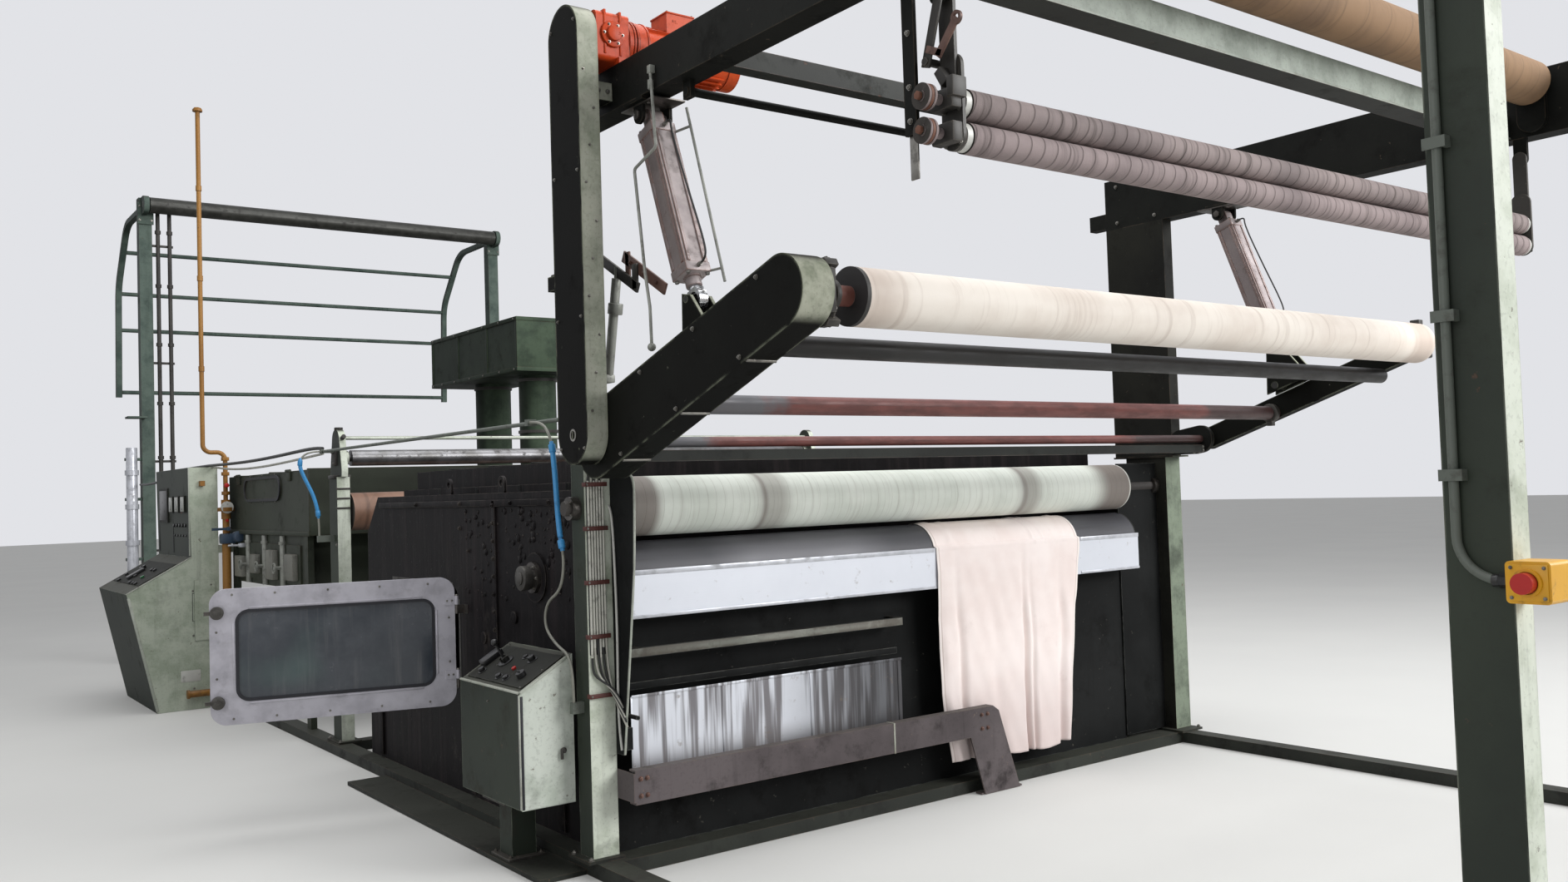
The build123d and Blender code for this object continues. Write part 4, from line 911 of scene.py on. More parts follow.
def dressArm():
    outer = armSpec["outer"]
    spots = [(outer, *armPoint(a, armEdge(a) - 0.022)) for a in (0.10, 0.42, 0.80, 1.20)]
    spots += [(outer, *armPoint(a, -armEdge(a) + 0.022)) for a in (0.18, 0.60, 1.02)]
    boltSet("armStuds", spots, (-1, 0, 0), 0.0085, "press_arm")
    bm = bmesh.new()
    for a in (0.18, 0.62, 1.05):
        y, z = armPoint(a, -armEdge(a) + 0.006)
        addRod(bm, (-2.034, y, z - 0.008), (-1.916, y, z - 0.008), 0.006, 12)
    newPiece(bm, "armClips", "boltSteel", "press_arm")
    bm = bmesh.new()  # bearing block and strap at the roller's end
    y, z = armSpec["tip"]
    addBox(bm, (-1.912, y - 0.080, z - 0.070), (-1.872, y + 0.075, z + 0.075), 0.008)
    addBox(bm, (-1.872, y - 0.022, z - 0.105), (-1.846, y + 0.022, z + 0.118), 0.004)
    addBox(bm, (-1.906, y - 0.030, z + 0.075), (-1.850, y + 0.030, z + 0.112), 0.005)
    addRod(bm, (-1.846, y, z), (-1.826, y, z), 0.052, 28, bevel=0.004)
    newPiece(bm, "nearRollerBlock", "castPaint", "press_arm")
    places = [(-1.872, y + dy, z + dz) for dy in (-0.060, 0.055) for dz in (-0.052, 0.055)]
    boltSet("nearBlockBolts", places, (1, 0, 0), 0.010, "press_arm")
    bm = bmesh.new()
    addBox(bm, (1.902, y - 0.050, z - 0.075), (1.968, y + 0.060, z + 0.070), 0.008)
    addRod(bm, (1.968, y, z), (1.986, y, z), 0.046, 24, bevel=0.004)
    addBox(bm, (1.904, y - 0.020, z + 0.060), (1.944, y + 0.028, z + 0.118), 0.004)
    newPiece(bm, "farRollerBlock", "castPaint", "press_arm")
    places = [(1.968, y + dy, z + dz) for dy in (-0.034, 0.044) for dz in (-0.058, 0.052)]
    boltSet("farBlockBolts", places, (1, 0, 0), 0.009, "press_arm")
    bm = bmesh.new()
    y, z = armPoint(0.442, -0.022)
    for x0, x1 in ((-1.900, -1.872), (1.866, 1.896)):
        addRod(bm, (x0, y, z), (x1, y, z), 0.050, 24, bevel=0.003)
        addBox(bm, (x0, y - 0.018, z - 0.070), (x1, y + 0.018, z - 0.040), 0.003)
    newPiece(bm, "guideRollerCaps", "castPaint", "press_arm")
    bm = bmesh.new()  # rubbed lug brackets and stay at the cylinder's foot
    for a in (0.53, 0.62, 0.73):
        y, z = armPoint(a, 0.098)
        for x in (-1.830, 1.825):
            addRod(bm, (x - 0.004 if x < 0 else x, y, z), (x + 0.018, y, z), 0.016, 6, bevel=0.001)
    newPiece(bm, "lugNuts", "rustyRod", "press_arm")


dressArm()


# chain guard: screws along its rim and face, a peep rim, bracket lips and their bolts
def dressGuard():
    rim = -0.262 - 0.121
    spots = [(-2.088 + 0.020 * ((i * 7) % 3 - 1), rim, 1.86 + 0.145 * i) for i in range(10)]
    boltSet("guardRimScrews", spots, (0, -1, 0), 0.0055, "frame")
    face = [(-2.130, -0.262 + dy, z) for z in (1.72, 2.22, 2.78, 3.36) for dy in (-0.095, 0.095)]
    boltSet("guardFaceScrews", face, (-1, 0, 0), 0.0065, "frame")
    bm = bmesh.new()
    addRing(bm, (-2.1305, -0.266, 1.773), (1, 0, 0), 0.017, 0.007, 0.003, 24)
    newPiece(bm, "guardPeepRim", "boltSteel", "frame")
    bm = bmesh.new()
    addBox(bm, (-2.043, -0.300, 3.150), (-1.950, -0.240, 3.158), 0.001)
    addBox(bm, (-2.043, -0.190, 2.440), (-1.950, 0.060, 2.446), 0.001)
    newPiece(bm, "guardBracketLips", "crossPaint", "frame")
    spots = [(-2.010 + 0.04 * i, -0.320, 3.115) for i in range(2)]
    boltSet("guardBracketBolts", spots, (0, -1, 0), 0.009, "frame")


dressGuard()


# gear motor: cast ribs, cooling fins, covers and screws
motorSpec = {"axis": (-0.262, 3.322), "fins": 26, "finReach": 0.012}


def dressMotor():
    y, z = motorSpec["axis"]
    bm = bmesh.new()
    for i in range(motorSpec["fins"]):
        angle = 2 * math.pi * i / motorSpec["fins"]
        turn = Matrix.Translation((0, y, z)) @ Matrix.Rotation(angle, 4, "X")
        if math.sin(angle) > 0.80:
            continue
        addBox(bm, (-1.780, -0.0022, 0.086), (-1.420, 0.0022, 0.090 + motorSpec["finReach"]), 0.0, turn)
    newPiece(bm, "motorFins", "orangePaint", "frame")
    bm = bmesh.new()
    for x in (-1.884, -1.862, -1.848, -1.800):
        addRing(bm, (x, y, z), (1, 0, 0), 0.101, 0.006, 0.007, 44)
    addRing(bm, (-1.352, y, z), (1, 0, 0), 0.078, 0.016, 0.006, 44)
    for step in range(4):
        addRing(bm, (-1.349, y, z), (1, 0, 0), 0.018 + 0.015 * step, 0.004, 0.003, 36)
    for x in (-1.998, -1.930):
        addBox(bm, (x - 0.005, -0.366, 3.250), (x + 0.005, -0.158, 3.424), 0.002)
    addRod(bm, (-1.964, -0.372, 3.330), (-1.964, -0.362, 3.330), 0.052, 30, bevel=0.003)
    addRod(bm, (-1.964, -0.384, 3.330), (-1.964, -0.372, 3.330), 0.030, 24, bevel=0.003)
    addBox(bm, (-1.694, -0.326, 3.482), (-1.556, -0.198, 3.490), 0.003)
    addRod(bm, (-1.500, y, 3.405), (-1.500, y, 3.440), 0.014, 16, bevel=0.002)
    addRing(bm, (-1.500, y, 3.455), (0, 1, 0), 0.012, 0.007, 0.008, 24)
    newPiece(bm, "motorCastings", "orangePaint", "frame")
    places = [(-1.964 + 0.040 * math.cos(a), -0.372, 3.330 + 0.040 * math.sin(a)) for a in evenAngles(6)]
    boltSet("gearCoverBolts", places, (0, -1, 0), 0.0055, "frame")
    places = ringSpots(-1.840, motorSpec["axis"], 0.092, evenAngles(8))
    boltSet("flangeBolts", places, (-1, 0, 0), 0.007, "frame")
    places = [(x, dy, 3.490) for x in (-1.684, -1.566) for dy in (-0.316, -0.208)]
    boltSet("terminalScrews", places, (0, 0, 1), 0.005, "frame")
    makeTube("motorLead", [(-1.560, -0.262, 3.430), (-1.510, -0.262, 3.434), (-1.480, -0.240, 3.420),
        (-1.480, -0.190, 3.330), (-1.560, -0.130, 3.240), (-1.700, -0.090, 3.222), (-1.860, -0.060, 3.221),
        (-1.900, 0.010, 3.220)], 0.006, "blackCable", "frame", smooth=4)


dressMotor()


# air cylinders: caps, tie rods, ports and the gland sleeve
cylinderSpec = {"top": (-0.475, 2.990), "lean": 20.26}


def dressCylinder(side, x):
    body = side + "_barrel"
    place = Matrix.Translation((x,
        *cylinderSpec["top"])) @ Matrix.Rotation(-math.radians(cylinderSpec["lean"]), 4, "X")
    bm = bmesh.new()
    for top, low in ((-0.052, -0.092), (-0.660, -0.700)):
        addBox(bm, (-0.054, -0.054, low), (0.054, 0.054, top), 0.004, place)
    for sx in (-1, 1):
        for off in (-0.034, 0.034):
            addBox(bm, (sx * 0.052 - 0.003, off - 0.006, -0.660), (sx * 0.052 + 0.003, off + 0.006, -0.092),
                0.001, place)
            addBox(bm, (off - 0.006, sx * 0.052 - 0.003, -0.660), (off + 0.006, sx * 0.052 + 0.003, -0.092),
                0.001, place)
    addRod(bm, (0, 0, -0.707), (0, 0, -0.742), 0.031, 28, bevel=0.003, turn=place)
    newPiece(bm, side + "CylinderCaps", "cylinderAlloy", body)
    bm = bmesh.new()
    for dx in (-0.042, 0.042):
        for dy in (-0.042, 0.042):
            addRod(bm, (dx, dy, -0.700), (dx, dy, -0.709), 0.0085, 6, bevel=0.001, turn=place)
            addRod(bm, (dx, dy, -0.052), (dx, dy, -0.044), 0.0085, 6, bevel=0.001, turn=place)
    for z in (-0.072, -0.680):
        addRod(bm, (0, -0.054, z), (0, -0.072, z), 0.009, 6, bevel=0.001, turn=place)
        addRod(bm, (0, -0.072, z), (0, -0.080, z), 0.006, 14, turn=place)
    newPiece(bm, side + "CylinderNuts", "boltSteel", body)
    low = place @ Vector((0, -0.078, -0.680))
    high = place @ Vector((0, -0.078, -0.072))
    out = place.to_3x3() @ Vector((0, -0.03, 0))
    line = [low, low + out, low + out + Vector((0, 0, 0.05)), low.lerp(high, 0.5) + out * 0.9,
        high + out - Vector((0, 0, 0.05)), high + out, high]
    makeTube(side + "CylinderLine", [tuple(point) for point in line], 0.004, "blackCable", body)
    bm = bmesh.new()
    for end in (-1, 1):
        addRod(bm, (x + end * 0.066, *cylinderSpec["top"]), (x + end * 0.078, *cylinderSpec["top"]), 0.020, 6,
            bevel=0.002)
    addBox(bm, (x - 0.070, -0.600, 3.026), (x + 0.070, -0.350, 3.034), 0.002)
    newPiece(bm, side + "CylinderPinNuts", "oilySteel", "frame")
    places = [(x + dx * 0.052, yy, 3.033) for dx in (-1, 1) for yy in (-0.530, -0.420)]
    boltSet(side + "MountBolts", places, (0, 0, -1), 0.010, "frame")


for side, x in (("near", -1.860), ("far", 1.855)):
    dressCylinder(side, x)

# bent lubrication pipe beside the cylinders; the thin stay rods are made with the stays further down
bentPipe("bentPipe", [(-1.964, -0.634, 3.115), (-1.964, -0.659, 2.818), (-1.964, -0.499, 2.770),
    (-1.964, -0.556, 2.367), (-1.964, -0.585, 2.232), (-1.964, -0.589, 2.092)], 0.006, 0.03, "palePipe",
    "frame")


def pipeEnds():
    bm = bmesh.new()
    bmesh.ops.create_uvsphere(bm, u_segments=18, v_segments=12, radius=0.016,
        matrix=Matrix.Translation((-1.964, -0.589, 2.084)))
    addBox(bm, (-1.972, -0.646, 3.100), (-1.950, -0.622, 3.130), 0.002)
    addRod(bm, (-1.964, -0.634, 3.040), (-1.964, -0.634, 3.075), 0.011, 6, bevel=0.001)
    newPiece(bm, "bentPipeEnd", "palePipe", "frame")


pipeEnds()
print("arm, guard, motor and cylinders dressed")


def addBar(bm, x0, x1, start, end, tall, bevel=0.002):
    way = (end[0] - start[0], end[1] - start[1])
    half = math.hypot(*way) / 2 + tall / 2
    turn = Matrix.Translation((0, (start[0] + end[0]) / 2,
        (start[1] + end[1]) / 2)) @ Matrix.Rotation(math.atan2(way[1], way[0]), 4, "X")
    addBox(bm, (x0, -half, -tall / 2), (x1, half, tall / 2), bevel, turn)


# plaiter: link bars, hook and block, white collars, spool belts
plaitSpec = {"y": -2.045, "rollers": (2.543, 2.641), "pulley": (-1.926, -1.912)}


def dressPlaiter():
    y = plaitSpec["y"]
    bm = bmesh.new()
    addBar(bm, -1.864, -1.856, (-2.050, 2.925), (-1.998, 2.765), 0.034)
    addBar(bm, -1.856, -1.812, (-2.052, 2.700), (-2.040, 2.720), 0.030)
    addRod(bm, (-1.870, -1.998, 2.765), (-1.812, -1.998, 2.765), 0.012, 16)
    addBox(bm, (-1.868, -2.108, 2.640), (-1.812, -2.080, 2.700), 0.004)
    for z in plaitSpec["rollers"]:
        addBox(bm, (-1.862, y - 0.052, z - 0.030), (-1.822, y + 0.040, z + 0.030), 0.006)
    newPiece(bm, "plaiterLink", "castPaint", "plaiter")
    bm = bmesh.new()
    addBar(bm, -1.874, -1.866, (-2.126, 2.842), (-2.062, 2.772), 0.026)
    addBar(bm, -1.874, -1.866, (-2.062, 2.772), (-2.020, 2.792), 0.022)
    addRing(bm, (-1.870, -2.134, 2.851), (1, 0, 0), 0.011, 0.009, 0.009, 20)
    newPiece(bm, "plaiterHook", "rustyRod", "plaiter")
    spots = [(-1.812, y + dy, z + dz) for z in plaitSpec["rollers"] for dy in (-0.030,
        0.030) for dz in (-0.024, 0.024)]
    spots += [(-1.812, y, 2.705), (-1.812, y, 2.760)]
    boltSet("plaiterNearBolts", spots, (-1, 0, 0), 0.007, "plaiter")
    spots = [(1.827, y + dy, z + dz) for z in plaitSpec["rollers"] for dy in (-0.030,
        0.030) for dz in (-0.024, 0.024)]
    boltSet("plaiterFarBolts", spots, (1, 0, 0), 0.007, "plaiter")
    bm = bmesh.new()
    addBox(bm, (-1.8755, -1.964, 2.430), (-1.8690, -1.930, 2.560), 0.002)
    newPiece(bm, "hangerTongues", "boltSteel", "frame")
    spots = [(-1.884, -1.947, z) for z in (2.600, 2.700, 2.860, 3.000)]
    boltSet("hangerBolts", spots, (-1, 0, 0), 0.009, "frame")
    for level, z in zip(("low", "high"), plaitSpec["rollers"]):
        body = "plaiter_roller_" + level
        bm = bmesh.new()
        addRing(bm, (-1.782, y, z), (1, 0, 0), 0.0375, 0.005, 0.022, 36)
        addRing(bm, (1.801, y, z), (1, 0, 0), 0.0375, 0.005, 0.016, 36)
        newPiece(bm, level + "WhiteCollars", "whitePlastic", body)
        bm = bmesh.new()
        addRing(bm, (-1.919, y, z), (1, 0, 0), 0.0295, 0.008, 0.010, 36)
        addRod(bm, (-1.938, y, z), (-1.950, y, z), 0.013, 6, bevel=0.001)
        newPiece(bm, level + "SpoolBelt", "beltLeather", body)


dressPlaiter()


# rear posts: loom tails, red straps and the white cable
def dressLoom():
    for i in range(6):
        x, top = -1.935 + 0.013 * i, 0.880 + 0.040 * (i % 3)
        line = [(x, -0.0055, top + 0.004), (x, -0.0060, top - 0.05), (x + 0.006, -0.010, 0.80),
            (-1.858 + 0.002 * i, -0.026, 0.76 - 0.012 * i), (-1.842, -0.046 - 0.006 * i, 0.72 - 0.016 * i),
            (-1.834, -0.058 - 0.008 * i, 0.690 - 0.018 * i)]
        makeTube("loomTail" + str(i + 1), line, 0.0048, "greyCable" if i % 2 else "blackCable", "frame",
            smooth=4)
        line = [(x, -0.0055, 1.596), (x, -0.008, 1.640), (x + 0.01, -0.030, 1.672), (x + 0.03, -0.09, 1.690),
            (-1.868, -0.150, 1.700 - 0.004 * i)]
        makeTube("loomHead" + str(i + 1), line, 0.0048, "greyCable" if i % 2 else "blackCable", "frame",
            smooth=4)
    makeTube("whiteLead", [(-1.838, 0.010, 1.500), (-1.838, -0.012, 1.490), (-1.839, -0.030, 1.430),
        (-1.839, -0.040, 1.20), (-1.839, -0.046, 1.00), (-1.839, -0.040, 0.80), (-1.838, -0.034, 0.66),
        (-1.836, -0.040, 0.56), (-1.834, -0.050, 0.50)], 0.0055, "whitePlastic", "frame", smooth=4)
    bm = bmesh.new()
    for z in (1.580, 1.400, 1.180, 0.960, 0.720):
        addBox(bm, (-1.950, -0.0165, z - 0.004), (-1.852, -0.0115, z + 0.014), 0.001)
        addBox(bm, (-1.954, -0.0165, z - 0.004), (-1.949, 0.012, z + 0.014), 0.001)
    newPiece(bm, "loomStraps", "rustStrap", "frame")
    bm = bmesh.new()
    addBox(bm, (-1.943, -0.0022, 0.890), (-1.862, -0.0002, 1.596), 0.0004)
    newPiece(bm, "loomBacking", "sealRubber", "frame")
    spots = [(-1.945, -0.0165, z + 0.005) for z in (1.580, 1.400, 1.180, 0.960, 0.720)]
    boltSet("loomStrapScrews", spots, (0, -1, 0), 0.0045, "frame")


dressLoom()


# feet, beams, brackets and bearings: fastenings in sets
def dressFastenings():
    anchors = [(-1.968, -0.014), (-1.968, 0.132), (1.978, -0.072), (1.978, 0.330), (-1.968, -3.556),
        (-1.968, -3.428), (1.930, -3.556), (1.930, -3.428), (-1.916, 3.304), (-1.916, 3.506), (1.905, 3.304),
        (1.905, 3.506), (-1.926, 9.424), (-1.926, 9.596), (1.985, 9.424), (1.985, 9.596)]
    boltSet("anchorBolts", [(x, y, 0.072) for x, y in anchors], (0, 0, 1), 0.012, "frame")
    beamEnds = [(-1.950, y, z) for y in (-3.540, -3.490, 0.028, 0.082) for z in (3.075, 3.180)]
    boltSet("nearBeamBolts", beamEnds, (-1, 0, 0), 0.011, "frame")
    beamEnds = [(1.840, y, z) for y in (-3.540, -3.490, -0.020, 0.250) for z in (3.080, 3.300)]
    boltSet("farBeamBolts", beamEnds, (-1, 0, 0), 0.011, "frame")
    spots = [(x, y, 1.668) for x in (-1.850, 1.800) for y in (-0.280, -0.248)]
    spots += [(x, -0.292, z) for x in (-1.860, 1.822) for z in (1.680, 1.700)]
    boltSet("lowCrossBolts", spots, (0, -1, 0), 0.008, "frame")
    spots = ringSpots(-1.9055, axes["pivot"], 0.055, (0.6, 2.0, 3.4, 4.8))
    spots += [(-1.9055, -0.080, 1.690), (-1.9055, -0.080, 1.760)]
    boltSet("pivotPlateBolts", spots, (-1, 0, 0), 0.008, "frame")
    draw = ringSpots(-1.988, axes["draw"], 0.036, (0.78, 2.36, 3.93, 5.5))
    boltSet("drawBearingBolts", draw, (-1, 0, 0), 0.006, "frame")
    hub = ringSpots(-1.878, axes["squeeze"], 0.054, evenAngles(6))
    boltSet("squeezeHubBolts", hub, (-1, 0, 0), 0.008, "frame")
    rail = [(x, -0.135, z) for x in (-1.800, -1.770, 0.140, 0.180) for z in (0.325, 0.393)]
    boltSet("stepRailBolts", rail, (0, -1, 0), 0.010, "frame", "rustyRod")
    for side, x in (("Near", -1.815), ("Far", 1.815)):
        y, z = axes["batch"]
        batch = [(x, y - 0.046, z), (x, y + 0.046, z), (x, y, z + 0.048)]
        boltSet("batchBolts" + side, batch, (1 if x < 0 else -1, 0, 0), 0.008, "frame")


dressFastenings()


# fascia: bright top rail, lower lip and panel joints; cover end plates, recess bar and rail band
def dressFascia():
    bm = bmesh.new()
    for x0, x1 in ((-1.822, -0.072), (1.014, 1.507)):
        addBox(bm, (x0, -0.066, 1.205), (x1, -0.0615, 1.2255), 0.001)
        addBox(bm, (x0, -0.067, 1.028), (x1, -0.0615, 1.040), 0.001)
    newPiece(bm, "fasciaRails", "fasciaEdge", "frame")
    bm = bmesh.new()
    for x in (-1.790, -1.340, -0.860, -0.330):
        addBox(bm, (x - 0.004, -0.0590, 0.405), (x + 0.004, -0.0555, 0.710), 0.0008)
    addBox(bm, (-1.790, -0.0600, 0.704), (-0.308, -0.0555, 0.716), 0.001)
    newPiece(bm, "fasciaJoints", "sheetSteel", "frame")
    bm = bmesh.new()
    addBox(bm, (-0.440, -0.1366, 0.2885), (-0.430, -0.1350, 0.4295), 0.0004)
    addBox(bm, (-0.440, -0.1366, 0.4280), (-0.430, -0.0850, 0.4296), 0.0004)
    newPiece(bm, "railBand", "paleTrim", "frame")
    bm = bmesh.new()
    for x in (-1.8155, 1.5005):
        addRod(bm, (x, 0.095, 1.195), (x + (-0.006 if x < 0 else 0.006), 0.095, 1.195), 0.1465, 64,
            bevel=0.001)
    newPiece(bm, "coverEndPlates", "recessPaint", "frame")
    bm = bmesh.new()
    addBox(bm, (-1.800, -0.042, 0.735), (-0.320, -0.030, 0.765), 0.002)
    addBox(bm, (-1.760, -0.030, 0.868), (-1.700, 0.058, 0.900), 0.002)
    addBox(bm, (1.486, 0.050, 0.075), (1.838, 0.060, 1.620), 0.001)
    newPiece(bm, "recessRibs", "recessPaint", "frame")
    bm = bmesh.new()
    addBox(bm, (-1.822, -0.0455, 0.868), (-0.280, -0.0440, 0.902), 0.0004)
    newPiece(bm, "recessBarFace", "barPaint", "frame")
    line = [(-1.827, -0.142, 1.628), (-1.827, -0.171, 1.618), (-1.827, -0.188, 1.590),
        (-1.827, -0.193, 1.560), (-1.827, -0.188, 1.42), (-1.827, -0.177, 1.240), (-1.827, -0.143, 1.02),
        (-1.827, -0.101, 0.75), (-1.827, -0.061, 0.482)]
    makeTube("stripEdge", line, 0.0048, "paleTrim", "frame", smooth=3)


dressFascia()


# bath side: bolted seam, corner angle, hub cap, crust lumps and hatch seat
def dressTank():
    bm = bmesh.new()
    addBox(bm, (-1.862, 1.086, 0.700), (-1.850, 1.118, 1.530), 0.003)
    addBox(bm, (-1.858, 0.236, 0.075), (-1.850, 0.290, 1.560), 0.002)
    addBox(bm, (-1.862, 0.300, 1.500), (-1.850, 2.700, 1.532), 0.003)
    addRing(bm, (-1.8555, *axes["squeeze"]), (1, 0, 0), 0.072, 0.040, 0.011, 48)
    for y in (0.420, 1.380, 2.700):
        addBox(bm, (-1.866, y, 0.080), (-1.850, y + 0.060, 0.520), 0.004)
    for y, z in ((0.900, 0.980), (1.250, 0.860), (0.420, 0.760)):
        addRod(bm, (-1.850, y, z), (-1.862, y, z), 0.030, 24, bevel=0.003)
    newPiece(bm, "tankAngles", "tarCoat", "frame")
    bm = bmesh.new()
    addRod(bm, (-1.894, *axes["squeeze"]), (-1.932, *axes["squeeze"]), 0.056, 44, bevel=0.004)
    addRod(bm, (-1.877, *axes["squeeze"]), (-1.8945, *axes["squeeze"]), 0.050, 44)
    addRod(bm, (-1.932, *axes["squeeze"]), (-1.938, *axes["squeeze"]), 0.030, 30, bevel=0.002)
    newPiece(bm, "squeezeHubCap", "tankSteel", "frame")
    spots = [(-1.862, 1.102, 0.740 + 0.085 * i) for i in range(10)]
    spots += [(-1.850, 1.532, 1.392), (-1.850, 1.427, 1.280), (-1.862, 0.500, 1.516), (-1.862, 0.900, 1.516),
        (-1.862, 1.500, 1.516), (-1.862, 2.100, 1.516)]
    spots += [(-1.858, 0.262, z) for z in (0.25, 0.55, 0.85, 1.15, 1.45)]
    boltSet("tankBolts", spots, (-1, 0, 0), 0.0115, "frame", "tarCoat")
    bm = bmesh.new()
    seeds = random.Random(7)
    for i in range(150):
        y = 0.340 + 1.150 * seeds.random() ** 1.3
        z = 1.480 - 0.42 * seeds.random() ** 1.6
        if math.dist((y, z), axes["squeeze"]) < 0.125 or abs(y - 1.102) < 0.03:
            continue
        size = 0.004 + 0.010 * seeds.random() ** 2
        lump = bmesh.ops.create_icosphere(bm, subdivisions=1, radius=size)["verts"]
        bmesh.ops.scale(bm, vec=(0.55, 1.0 + seeds.random(), 1.0 + seeds.random()), verts=lump)
        bmesh.ops.translate(bm, vec=(-1.8505, y, z), verts=lump)
    newPiece(bm, "tankCrust", "tarCoat", "frame", sharp=180)
    bm = bmesh.new()
    wall, seatThick = -1.850, 0.0014
    for y0, y1, z0, z1 in ((1.640, 2.520, 0.545, 0.566), (1.640, 2.520, 1.092, 1.113),
        (1.553, 1.574, 0.630, 1.030), (2.588, 2.609, 0.630, 1.030)):
        addBox(bm, (wall - seatThick, y0, z0), (wall, y1, z1))
    newPiece(bm, "hatchSeat", "tankSteel", "frame")
    bm = bmesh.new()
    for y in (0.500, 1.000, 1.500, 2.000):
        addBox(bm, (-1.762, y, 1.566), (-1.7605, y + 0.030, 1.600), 0.0)
        addBox(bm, (-1.700, y, 1.700), (1.660, y + 0.012, 1.708), 0.002)
    newPiece(bm, "coverRibs", "recessPaint", "frame")


dressTank()


# hatch door: rim screws, inner bead, knobs on the latch blades and hinge pins, all in the door's own turn
hatchSpec = {"axis": (-1.886, 1.508), "open": 74.3, "y": (1.518, 2.648), "z": (0.508, 1.150)}
hatchTurn = Matrix.Translation((*hatchSpec["axis"], 0)) @ Matrix.Rotation(math.radians(hatchSpec["open"]), 4,
    "Z") @ Matrix.Translation((-hatchSpec["axis"][0], -hatchSpec["axis"][1], 0))


def dressHatch():
    (y0, y1), (z0, z1) = hatchSpec["y"], hatchSpec["z"]
    bm = bmesh.new()
    spots = [(y, z) for z in (z0 + 0.028, z1 - 0.028)
        for y in (y0 + 0.13, y0 + 0.36, y0 + 0.60, y0 + 0.84, y1 - 0.10)]
    spots += [(y, z) for y in (y0 + 0.030, y1 - 0.030) for z in (z0 + 0.22, z0 + 0.44)]
    turnOut = hatchTurn.to_3x3() @ Vector((-1, 0, 0))
    for y, z in spots:
        at = hatchTurn @ Vector((-1.882, y, z))
        addBolt(bm, at, turnOut, 0.0055)
    newPiece(bm, "hatchScrews", "boltSteel", "hatch_door")
    bm = bmesh.new()
    gy0, gy1, gz0, gz1 = y0 + 0.098, y1 - 0.112, z0 + 0.106, z1 - 0.100
    for a, b, c, d in ((gy0 + 0.06, gy1 - 0.06, gz0 - 0.012, gz0 - 0.004),
        (gy0 + 0.06, gy1 - 0.06, gz1 + 0.004, gz1 + 0.012),
        (gy0 - 0.012, gy0 - 0.004, gz0 + 0.06, gz1 - 0.06),
        (gy1 + 0.004, gy1 + 0.012, gz0 + 0.06, gz1 - 0.06)):
        addBox(bm, (-1.8850, a, c), (-1.8815, b, d), 0.0012, hatchTurn)
    newPiece(bm, "hatchBead", "hatchAlloy", "hatch_door")
    bm = bmesh.new()
    for z in (0.640, 1.010):
        at = hatchTurn @ Vector((-1.886, 1.508, z))
        addRod(bm, (at.x, at.y, z + 0.0445), (at.x, at.y, z + 0.052), 0.0085, 16, bevel=0.001)
        for y in (1.532, 1.556):
            spot = hatchTurn @ Vector((-1.886, y, z + 0.022))
            addBolt(bm, spot, turnOut, 0.005)
    newPiece(bm, "hatchHingeScrews", "boltSteel", "hatch_door")
    for level, z in (("high", 1.040), ("low", 0.618)):
        bm = bmesh.new()
        at = hatchTurn @ Vector((-1.910, y1 - 0.034, z))
        addRod(bm, at - turnOut * 0.020, at + turnOut * 0.004, 0.031, 30, bevel=0.005)
        addRod(bm, at + turnOut * 0.004, at + turnOut * 0.010, 0.019, 6, bevel=0.002)
        addRod(bm, at + turnOut * 0.008, at + turnOut * 0.014, 0.009, 16, bevel=0.001)
        newPiece(bm, level + "LatchKnob", "tankSteel", "hatch_latch_" + level)


dressHatch()
print("plaiter, loom, fascia, bath and hatch dressed")


# near desk: gasket strips, panel fittings, blank plate, latch and pedestal flange
deskSpec = {"low": (-2.200, 0.752), "slope": math.atan2(0.140, 0.238), "y": (0.120, 0.720)}
deskTurn = Matrix.Translation((deskSpec["low"][0], 0,
    deskSpec["low"][1])) @ Matrix.Rotation(-deskSpec["slope"], 4, "Y")


